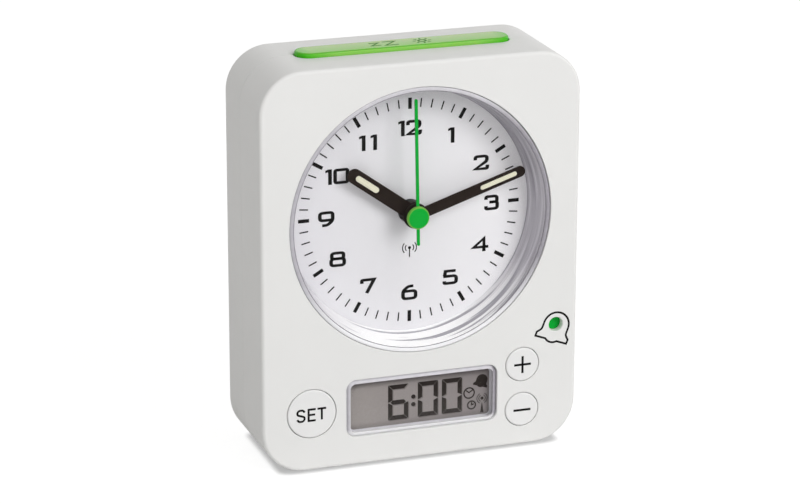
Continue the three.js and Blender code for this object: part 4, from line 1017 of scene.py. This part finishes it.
def battery_door():
    width, height = 2 * (DOOR_HALF - SLIP), DOOR_HIGH - DOOR_LOW - 2 * SLIP
    outline = rounded(width, height, 0.9, 0, (DOOR_LOW + DOOR_HIGH) / 2, 6)
    steps = [(0, INNER_BACK)] + rim(DOOR_EDGE, CASE_DEPTH, 5, -1) + [(DOOR_EDGE + BAND, CASE_DEPTH)]
    panel = skin("battery_door_finish", outline, steps)
    brim = CASE_DEPTH + 0.1
    dish = [(0, brim - DISH_DEEP)]
    for turn in (k * math.pi / 16 for k in range(1, 9)):
        dish.append((DISH_RADIUS * math.sin(turn), brim - DISH_DEEP * math.cos(turn)))
    dish += [(DISH_RADIUS, CASE_DEPTH + PAST), (0, CASE_DEPTH + PAST)]
    cutters = [turned("thumb_dish", dish, 0, DISH_Z, 64)]
    for x in (-SLIT_X, SLIT_X):
        cutters.append(box("slit", x - SLIT_HALF, x + SLIT_HALF, 30, 34, 28.85, 38.5))
    parts = [carve(panel, *cutters)]
    for x in HOOKS:
        left, right = x - HOOK_HALF, x + HOOK_HALF
        parts.append(soft_box("hook", left, right, 29.5, 30.8, 3.05, 7.0, 0.2))
        parts.append(soft_box("hook_root", left, right, 29.5, 31.5, 5.8, 7.0, 0.2))
    for z in (DISH_Z - 1.25, DISH_Z, DISH_Z + 1.25):
        parts.append(soft_box("ridge", -2.2, 2.2, 32.1, 32.75, z - 0.3, z + 0.3, 0.18))
    return merge("battery_door_finish", parts)


piece(even(battery_door()), "battery_door_body", "white_plastic", "battery_door")


def screw(index, x, z):
    profile = [(0, SCREW_TIP), (0.4, SCREW_TIP), (SCREW_SHANK, 9.8), (SCREW_SHANK, SCREW_NECK)]
    profile += [(SCREW_HEAD, SCREW_NECK), (SCREW_HEAD, 28.7)]
    profile += [(SCREW_HEAD - i, level) for i, level in rim(0.7, SCREW_TOP, 5, -1)]
    head = turned("case_screw_%d_finish" % index, profile + [(0, SCREW_TOP)], x, z, 40)
    slots = [box("cross", x - a, x + a, 28.75, 30, z - b, z + b) for a, b in ((1.35, 0.24), (0.24, 1.35))]
    return carve(head, *slots)


for count, (x, z) in enumerate(SCREWS, 1):
    piece(screw(count, x, z), "case", "fitting_steel", "case_screw_%d" % count)


def cell(name, z, sign):
    foot, shoulder, end = -24.8, 23.5, 25.0
    edges = rim(CELL_EDGE, foot, 4) + rim(CELL_EDGE, shoulder, 4, -1)
    profile = [(0, -end), (5.0, -end), (5.2, foot)] + [(CELL_RADIUS - i, level) for i, level in edges]
    profile += [(5.6, shoulder), (5.4, shoulder - 0.2), (2.9, shoulder - 0.2)]
    profile += [(2.75, shoulder), (2.75, end - 0.3), (2.55, end), (0, end)]
    return turned(name, [(r, sign * level) for r, level in profile], CELL_DEPTH, z, 64, side)


piece(cell("battery_upper_finish", 29.5, 1), "case", "cell_sleeve", "battery_upper")
piece(cell("battery_lower_finish", 13.9, -1), "case", "cell_sleeve", "battery_lower", surface=CELL_TURNED)


# Light bar, buttons and slider


def snooze_bar():
    outline = rounded(BAR_LENGTH, BAR_WIDTH, BAR_CORNER, 0, BAR_DEPTH, 14)
    flange = rounded_rect(BAR_LENGTH + BAR_FLANGE, BAR_WIDTH + BAR_FLANGE, BAR_FLANGE / 2, 0, BAR_DEPTH, 14)
    crown = BAR_TOP - PRINT
    steps = [(0, BAR_FLANGE_HIGH), (0, BAR_TOP - 0.9)]
    steps += rim(BAR_EDGE, crown, 6, -1) + [(BAR_EDGE + BAND, crown)]
    sections = [(flange, BAR_FLANGE_LOW), (flange, BAR_FLANGE_HIGH)]
    sections += [(outline(inset), level) for inset, level in steps]
    return loft("snooze_bar_finish", sections, top)


piece(snooze_bar(), "snooze_bar_body", "lime_plastic", "snooze_bar")


def bar_sign():
    """A rest sign and a lamp sign, drawn on the bar's top."""
    levels, line, lamp_x = (BAR_TOP - 2 * PRINT, BAR_TOP), 0.6, 5.6
    shapes = []
    for x, size in ((-9.0, 2.6), (-5.2, 3.6)):
        near, far = BAR_DEPTH - size / 2, BAR_DEPTH + size / 2
        zed = [(x, far), (x + size, far), (x, near), (x + size, near)]
        shapes.append(stroke(zed, line, levels, top))
    shapes.append(stroke(circle(1.0, lamp_x, BAR_DEPTH, 28), line, levels, top, True))
    for k in range(8):
        a = math.radians(45 * k)
        ray = [(lamp_x + r * math.cos(a), BAR_DEPTH + r * math.sin(a)) for r in (1.7, 2.6)]
        shapes.append(stroke(ray, line * 0.8, levels, top))
    return printed("bar_sign", shapes)


def button(name, x, z, radius):
    radius += BUTTON_GROWTH
    face, skirt = PRINT - BUTTON_PROUD, radius + BUTTON_SKIRT
    profile = [(0, face), (radius - BUTTON_EDGE - BAND, face)]
    profile += [(radius - i, level) for i, level in rim(BUTTON_EDGE, face, 5)]
    profile += [(radius, BUTTON_SKIRT_FRONT), (skirt, BUTTON_SKIRT_FRONT), (skirt, BUTTON_SKIRT_BACK)]
    profile += [(BUTTON_STEM, BUTTON_SKIRT_BACK), (BUTTON_STEM, BUTTON_BACK), (0, BUTTON_BACK)]
    return turned(name + "_button_finish", profile, x, z, 96)


for name, (x, z, radius) in BUTTONS.items():
    piece(button(name, x, z, radius), name + "_button_body", "button_plastic", name + "_button")

SIGN_LEVELS = (-BUTTON_PROUD, 2 * PRINT - BUTTON_PROUD)
SIGN_LINE = 0.64
LETTER_LINE = 0.58
LETTER_FOOT = 14.45
LETTER_HEIGHT = 3.2
LETTER_S = [(1.0, 0.8), (0.78, 1.0), (0.22, 1.0), (0.0, 0.8), (0.06, 0.6), (0.94, 0.4)]
LETTER_S += [(1.0, 0.2), (0.78, 0.0), (0.22, 0.0), (0.0, 0.2)]
# Letters: left end, width and lines in a unit box
LETTERS = (
    (-35.35, 2.1, [LETTER_S]),
    (-32.15, 2.0, [[(1.0, 1.0), (0.0, 1.0), (0.0, 0.0), (1.0, 0.0)], [(0.0, 0.52), (0.92, 0.52)]]),
    (-29.65, 2.45, [[(0.0, 1.0), (1.0, 1.0)], [(0.5, 1.0), (0.5, 0.0)]]),
)


def set_word():
    shapes = []
    for left, width, lines in LETTERS:
        for points in lines:
            curve = [(left + u * width, LETTER_FOOT + v * LETTER_HEIGHT) for u, v in points]
            if points is LETTER_S:
                curve = rounded_line(curve, [0.45] * len(curve))
            shapes.append(stroke(curve, LETTER_LINE, SIGN_LEVELS))
    return printed("set_word", shapes)


def sign(name, x, z, *lines):
    placed = [[(x + u, z + v) for u, v in line] for line in lines]
    return printed(name, [stroke(line, SIGN_LINE, SIGN_LEVELS) for line in placed])


inked(set_word(), "set_button_body")
inked(sign("plus_sign", 29.3, 23.35, [(-2.45, 0), (2.45, 0)], [(0, -2.45), (0, 2.45)]), "plus_button_body")
inked(sign("minus_sign", 29.33, 10.1, [(-2.5, 0), (2.5, 0)]), "minus_button_body")


def alarm_slider():
    carriage = soft_box("carriage", SLIDER_INNER, SLIDER_OUTER, 5.0, 13.0, 24.9, 42.9, 0.15)
    arm = soft_box("arm", SLIDER_INNER, SLIDER_OUTER, 2.25, 9.0, 31.4, 36.4, 0.15)
    flag = soft_box("flag", 36.5, SLIDER_OUTER, 2.25, 3.25, 31.4, 36.4, 0.2)
    outline = rounded(KNOB_WIDTH, KNOB_LENGTH, 0.7, SLIDER_DEPTH, FLAG_Z, 6)
    steps = [(0, 41.6), (0, KNOB_GROOVE)] + rim(0.35, KNOB_FACE, 4, -1)
    knob = skin("knob", outline, steps, side)
    grooves = []
    for z in (FLAG_Z - 2, FLAG_Z, FLAG_Z + 2):
        grooves.append(box("groove", KNOB_GROOVE, 47, 0, 20, z - 0.4, z + 0.4))
    return merge("alarm_slider_finish", [carve(knob, *grooves), carriage, arm, flag])


piece(alarm_slider(), "alarm_slider_body", "green_plastic", "alarm_slider")


def bell_outline(scale, tilt, x, z):
    """A bell with a flared foot and its clapper, leaning to the right over a place on its foot line."""
    half = rounded_line([(3.73, 3.6), (3.73, 2.3), (4.87, 1.18), (4.85, 0)], [0, 1.1, 0, 0])
    points = arc(3.73, 0, 180, 0, 4.3, 24)
    points += [(-u, v) for u, v in half]
    points += arc(2.59, 227.5, 312.5, 0, 1.91, 10)
    points += half[::-1]
    return turned_points([(scale * u, scale * v) for u, v in points], tilt, x, z)


bell_line = bell_outline(1.0, 20.5, 37.57, 29.57)
inked(printed("bell_sign", [stroke(bell_line, 0.56, (-PRINT, PRINT), front, True)]), "case")


# Dial, cup and hands


def dial_cup():
    return turned("dial_cup_pane", block(0, SKIRT, PANE_FRONT, CUP_BACK))


def dial_ring(name, profile, sides=CUP_SIDES):
    return turned(name, profile, sides=sides, ring=True)


def dial_rim():
    """The cup's edge: a rounded lip over the pane and the flange behind the case."""
    middle, half, foot = (LIP + CUP_RADIUS) / 2, (CUP_RADIUS - LIP) / 2, PANE_FRONT - PRINT
    edge = [(LIP, foot)]
    for turn in (k * math.pi / 12 for k in range(13)):
        edge.append((middle - half * math.cos(turn), CUP_FRONT + LIP_RISE - LIP_RISE * math.sin(turn)))
    edge += [(CUP_RADIUS, FLANGE_FRONT), (FLANGE, FLANGE_FRONT), (FLANGE, FLANGE_BACK)]
    edge += [(SKIRT + 0.1, FLANGE_BACK), (SKIRT + 0.1, foot)]
    return dial_ring("dial_cup_rim", edge)


def rim_line():
    """A painted shade line: a dark ring where the pane meets its lip."""
    profile = block(LIP - 0.2, LIP + 0.02, PANE_FRONT - 2 * PRINT, PANE_FRONT - PRINT)
    return dial_ring("dial_cup_line", profile)


def dial_wall():
    start = CUP_BACK + 0.05
    profile = [(SKIRT_INNER_FRONT, start), (SKIRT, start)]
    profile += [(SKIRT, SKIRT_END), (SKIRT_INNER_BACK, SKIRT_END)]
    return dial_ring("dial_cup_wall", profile)


def dial():
    profile = block(DIAL_HOLE, DIAL_RADIUS, DIAL_DEPTH, DIAL_DEPTH + DIAL_THICK)
    return dial_ring("dial_finish", profile, 128)


piece(dial_cup(), "case", "clear_plastic", "dial_cup")
piece(dial_rim(), "case", "clear_plastic", surface=CUP_RIM)
piece(rim_line(), "case", "clear_plastic", surface=RIM_LINE)
piece(dial_wall(), "case", "clear_plastic", surface=CUP_WALL)
piece(dial(), "case", "dial_white", "dial")


def radio_waves(x, z, radii, half, line, levels, steps=14):
    """Arcs on both sides of an aerial's head."""
    shapes = []
    for radius in radii:
        for middle in (0, 180):
            curve = arc(radius, middle - half, middle + half, x, z, steps)
            shapes.append(stroke(curve, line, levels))
    return shapes


def dial_print():
    levels = (DIAL_DEPTH - 0.03, DIAL_DEPTH + 0.02)
    hours = [30 * k for k in range(12)]
    minutes = [6 * k for k in range(60) if k % 5]
    shapes = bars(*HOUR_MARK, hours, levels) + bars(*MINUTE_MARK, minutes, levels)
    for hour in range(1, 13):
        a = math.radians(30 * hour)
        x, z = FIGURES_WIDE * math.sin(a), DIAL_Z - 0.05 + FIGURES_HIGH * math.cos(a)
        shapes += number(str(hour), x, z, levels)
    head = DIAL_Z - 10.5
    shapes.append(stroke([(0, head - 2.7), (0, head - 0.1)], 0.3, levels))
    shapes.append(patch(circle(0.42, 0, head, 20), levels))
    shapes += radio_waves(0, head, (1.2, 2.0), 42, 0.28, levels)
    return printed("dial_print", shapes)


inked(dial_print(), "case")


def stadium(low, high, width):
    """A strip with round ends along the upward axis."""
    return arc(width / 2, 0, 180, 0, high, 12) + arc(width / 2, 180, 360, 0, low, 12)


def hand_outline(length, width, hub):
    """A blade with a round tip that grows out of a round hub."""
    lean = math.degrees(math.asin(width / 2 / hub))
    points = arc(hub, 90 + lean, 450 - lean, 0, 0, 40)
    return points + arc(width / 2, 0, 180, 0, length - width / 2, 14)


def hand(name, length, width, hub, hole, level, glow, degrees):
    outline = on_dial(hand_outline(length, width, hub), degrees)
    window = on_dial(stadium(*glow), degrees)
    back = level + BLADE
    blade = plate("blade", outline, [window, circle(hole, 0, DIAL_Z, 40)], level, back)
    sleeve = dial_ring("sleeve", block(hole, hole + 1, back - 0.05, back + BOSS), 40)
    return merge(name, [blade, sleeve])


def glow_strip(name, level, glow, degrees):
    low, high, width = glow
    outline = on_dial(stadium(low, high, width - 0.08), degrees)
    return plate(name, outline, [], level + 0.06, level + 0.46)


def second_hand():
    level = DIAL_DEPTH - SECOND_HEIGHT
    outline = on_dial(stadium(-7.475, 32.475, 0.85), SECOND_ANGLE)
    needle = plate("needle", outline, [], level, level + BLADE, 0.12)
    face, back, end = level - 0.5, level + 0.52, level + 0.94
    cap = [(0, face), (2.62, face)] + [(SECOND_CAP - i, depth) for i, depth in rim(0.4, face, 5)]
    cap += [(SECOND_CAP, back), (1.1, back), (1.1, end), (0, end)]
    return merge("second_hand_finish", [needle, turned("cap", cap, sides=72)])


for name, look in HANDS.items():
    piece(hand(name + "_finish", *look), name + "_body", "hand_black", name)
for name, (*_, level, glow, degrees) in HANDS.items():
    strip = glow_strip(name + "_glow_finish", level, glow, degrees)
    piece(strip, name + "_body", "glow_cream", name + "_glow")
piece(second_hand(), "second_hand_body", "green_plastic", "second_hand", surface=HAND_GREEN)


# Display


window_outline = rounded(43.2, 16.2, 2.7, DISPLAY_X, DISPLAY_Z, 10)


def display_window():
    pane, flange = window_outline(0.3), rounded_rect(44.0, 18.2, 2.8, DISPLAY_X, DISPLAY_Z, 10)
    return loft("display_window_finish", [(pane, 1.1), (pane, 2.1), (flange, 2.1), (flange, 2.7)])


def display_rim():
    """The window's edge: its rounded lip and sloping face lie over the pane."""
    steps = [(1.15, 1.08), (1.15, 0.3), (1.05, 0.2), (0.9, 0.22), (0.1, 0.85), (0.0, 1.08)]
    return skin("display_window_rim", window_outline, steps, front, True)


def display_bezel():
    outer = rounded_rect(43.8, 18.0, 2.6, DISPLAY_X, DISPLAY_Z, 8)
    shown = rounded_rect(40.2, 13.4, 1.2, 0.36, 16.1, 8)
    return plate("display_bezel", outer, [shown], 2.72, 2.79, 0.02)


piece(display_window(), "case", "clear_plastic", "display_window")
piece(display_rim(), "case", "clear_plastic", surface=WINDOW_RIM)
piece(display_bezel(), "case", "white_plastic", surface=BEZEL)

# The bars of a seven-bar figure that are lit for each number
LIT = {"0": "abcdef", "6": "acdefg"}
# Figures of the display and their left ends
SHOWN = (("6", -8.78), ("0", -0.23), ("0", 6.72))
DIGIT_LOW = 10.8
DIGIT_WIDTH = 5.8
DIGIT_HEIGHT = 10.1
DIGIT_LINE = 1.26
DIGIT_GAP = 0.06


def seven_bars(text, x, z, levels):
    w, h, t, gap = DIGIT_WIDTH, DIGIT_HEIGHT, DIGIT_LINE, DIGIT_GAP
    half, mid = h / 2, t / 2

    def low(points):
        return [(u, h - v) for u, v in points]

    def right(points):
        return [(w - u, v) for u, v in points]

    cap = [(gap, h), (w - gap, h), (w - t - gap / 2, h - t), (t + gap / 2, h - t)]
    post = [(0, h - gap), (t, h - t - gap), (t, half + mid + gap / 2), (0, half + gap)]
    beam = [(mid + gap, half), (t + gap, half + mid), (w - t - gap, half + mid)]
    beam += low(right(beam))
    parts = {"a": cap, "b": right(post), "c": low(right(post)), "d": low(cap)}
    parts.update({"e": low(post), "f": post, "g": beam})
    return [patch([(x + u, z + v) for u, v in parts[k]], levels) for k in LIT[text]]


def display_signs(levels, dx=0.0, dz=0.0):
    shapes = []
    for text, x in SHOWN:
        shapes += seven_bars(text, x + dx, DIGIT_LOW + dz, levels)
    for z in (16.9, 14.7):
        shapes.append(patch(circle(0.62, -1.53 + dx, z + dz, 20), levels))
    return shapes


def display_icons(levels):
    shapes = [patch(bell_outline(0.44, 18.6, 17.75, 17.62), levels)]
    clocks = (
        (14.65, 15.97, 1.5, [(-0.91, 0.81), (0, 0.12), (1.3, 1.0)]),
        (15.39, 12.4, 1.14, [(0, 0.84), (0, 0.06), (0.67, 0.27)]),
    )
    for x, z, radius, hands in clocks:
        shapes.append(stroke(circle(radius, x, z, 32), 0.4, levels, front, True))
        shapes.append(stroke([(x + u, z + v) for u, v in hands], 0.36, levels))
    head_x, head_z = 18.45, 14.04
    shapes.append(patch([(17.93, 9.85), (18.93, 9.85), (18.5, 12.74), (18.36, 12.74)], levels))
    shapes.append(patch(circle(0.46, head_x, head_z, 16), levels))
    return shapes + radio_waves(head_x, head_z, (0.95, 1.5), 65, 0.2, levels, 12)


lit = (GLASS_FRONT - 0.03, GLASS_FRONT + 0.02)
shaded = (GLASS_FRONT - 0.01, GLASS_FRONT + 0.02)
figures = printed("display_figures", display_signs(lit) + display_icons(lit))
piece(figures, "case", "display_grey", surface=SEGMENT)
shadows = printed("display_figure_shadows", display_signs(shaded, 0.28, -0.28))
piece(shadows, "case", "display_grey", surface=SEGMENT_SHADOW)
piece(bar_sign(), "snooze_bar_body", "lime_plastic", surface=BAR_SIGN)


# Studio, in metres
FLOOR_HALF = 4.0
FLOOR_LEVEL = -0.0002
CONTACT_SHADOW = 0.0028
LAMP_SIZE = 0.9
CAMERA_PLACE = (-0.27336, -0.78317, 0.32352)
CAMERA_YAW = 19.21
CAMERA_PITCH = 18.02
CAMERA_ROLL = 0.14


def floor():
    """A white floor with a contact shadow. Mirrored ahead of the clock, it is a dark card."""
    corners = block(-FLOOR_HALF, FLOOR_HALF, -FLOOR_HALF, FLOOR_HALF)
    mesh = bpy.data.meshes.new("floor")
    mesh.from_pydata([(x, y, FLOOR_LEVEL) for x, y in corners], [], [(0, 1, 2, 3)])
    s = Surface("floor")
    s.set(Base_Color=s.blend(s.cloud(6.0, 2.0), grey(0.86), grey(0.9)))
    s.set(Roughness=0.9, Specular_IOR_Level=0.0)
    near = s.add("ShaderNodeAmbientOcclusion", Distance=CONTACT_SHADOW).outputs["AO"]
    seen = s.add("ShaderNodeBsdfDiffuse", Color=grey(0.25)).outputs["BSDF"]
    glow = s.add("ShaderNodeEmission", Strength=s.spread(near, 0.38, 0.88, 0.5, 0.97)).outputs["Emission"]
    both = s.fill(s.add("ShaderNodeAddShader"), 0, seen, glow)["Shader"]
    card = s.add("ShaderNodeBsdfDiffuse", Color=grey(0.06)).outputs["BSDF"]
    path = s.path()
    ahead = s.math("MULTIPLY", path["Is Glossy Ray"], s.ramp(s.axes()["Y"], -20.0, -60.0))
    s.show(s.mix(path["Is Camera Ray"], s.mix(ahead, s.plain, card), both))
    mesh.materials.append(s.material)
    linked("floor", mesh)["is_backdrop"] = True


def world():
    """White where it is seen or mirrored, and a weaker warm light elsewhere."""
    studio = bpy.data.worlds.new("studio")
    bpy.context.scene.world = studio
    studio.use_nodes = True
    n = Nodes(studio.node_tree)
    path = n.path()
    either = n.math("MAXIMUM", path["Is Camera Ray"], path["Is Glossy Ray"])
    through = n.math("MAXIMUM", either, path["Is Transmission Ray"])
    light = n.add("ShaderNodeBackground", Color=(1.0, 0.988, 0.965, 1.0), Strength=0.43)
    seen = n.add("ShaderNodeBackground", Color=grey(1.0), Strength=1.0)
    mixed = n.mix(through, light.outputs["Background"], seen.outputs["Background"])
    n.add("ShaderNodeOutputWorld", Surface=mixed)


def lamp(name, spot, aim, power):
    data = bpy.data.lights.new(name, "AREA")
    data.shape = "SQUARE"
    data.size = LAMP_SIZE
    data.energy = power
    obj = linked(name, data)
    obj.location = spot
    obj.rotation_euler = (Vector(aim) - Vector(spot)).to_track_quat("-Z", "Y").to_euler()
    return obj


def camera():
    yaw, pitch, roll = (math.radians(a) for a in (CAMERA_YAW, CAMERA_PITCH, CAMERA_ROLL))
    data = bpy.data.cameras.new("camera")
    data.sensor_width = 36.0
    data.lens = 144.0
    data.clip_start = 0.05
    data.clip_end = 50.0
    obj = linked("camera", data)
    heading = Matrix.Translation(CAMERA_PLACE) @ Matrix.Rotation(-yaw, 4, "Z")
    tilt = Matrix.Rotation(math.pi / 2 - pitch, 4, "X") @ Matrix.Rotation(roll, 4, "Z")
    obj.matrix_world = heading @ tilt
    bpy.context.scene.camera = obj


floor()
world()
lamp("key", (0.75, -1.35, 0.95), (0.0, 0.0, 0.06), 16.0).visible_glossy = False
lamp("fill", (-0.7, -1.45, 0.5), (0.0, 0.0, 0.06), 2.4)
lamp("overhead", (-0.7, 0.1, 1.3), (0.0, 0.0, 0.05), 0.5)
lamp("back", (0.5, 1.6, 0.2), (0.0, 0.0, 0.06), 5.0).visible_glossy = False
camera()
bpy.context.scene.view_settings.view_transform = "Standard"

boxes = {"cad": cad_box, "visual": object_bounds()}
{name: [list(corner) for corner in corners] for name, corners in boxes.items()}
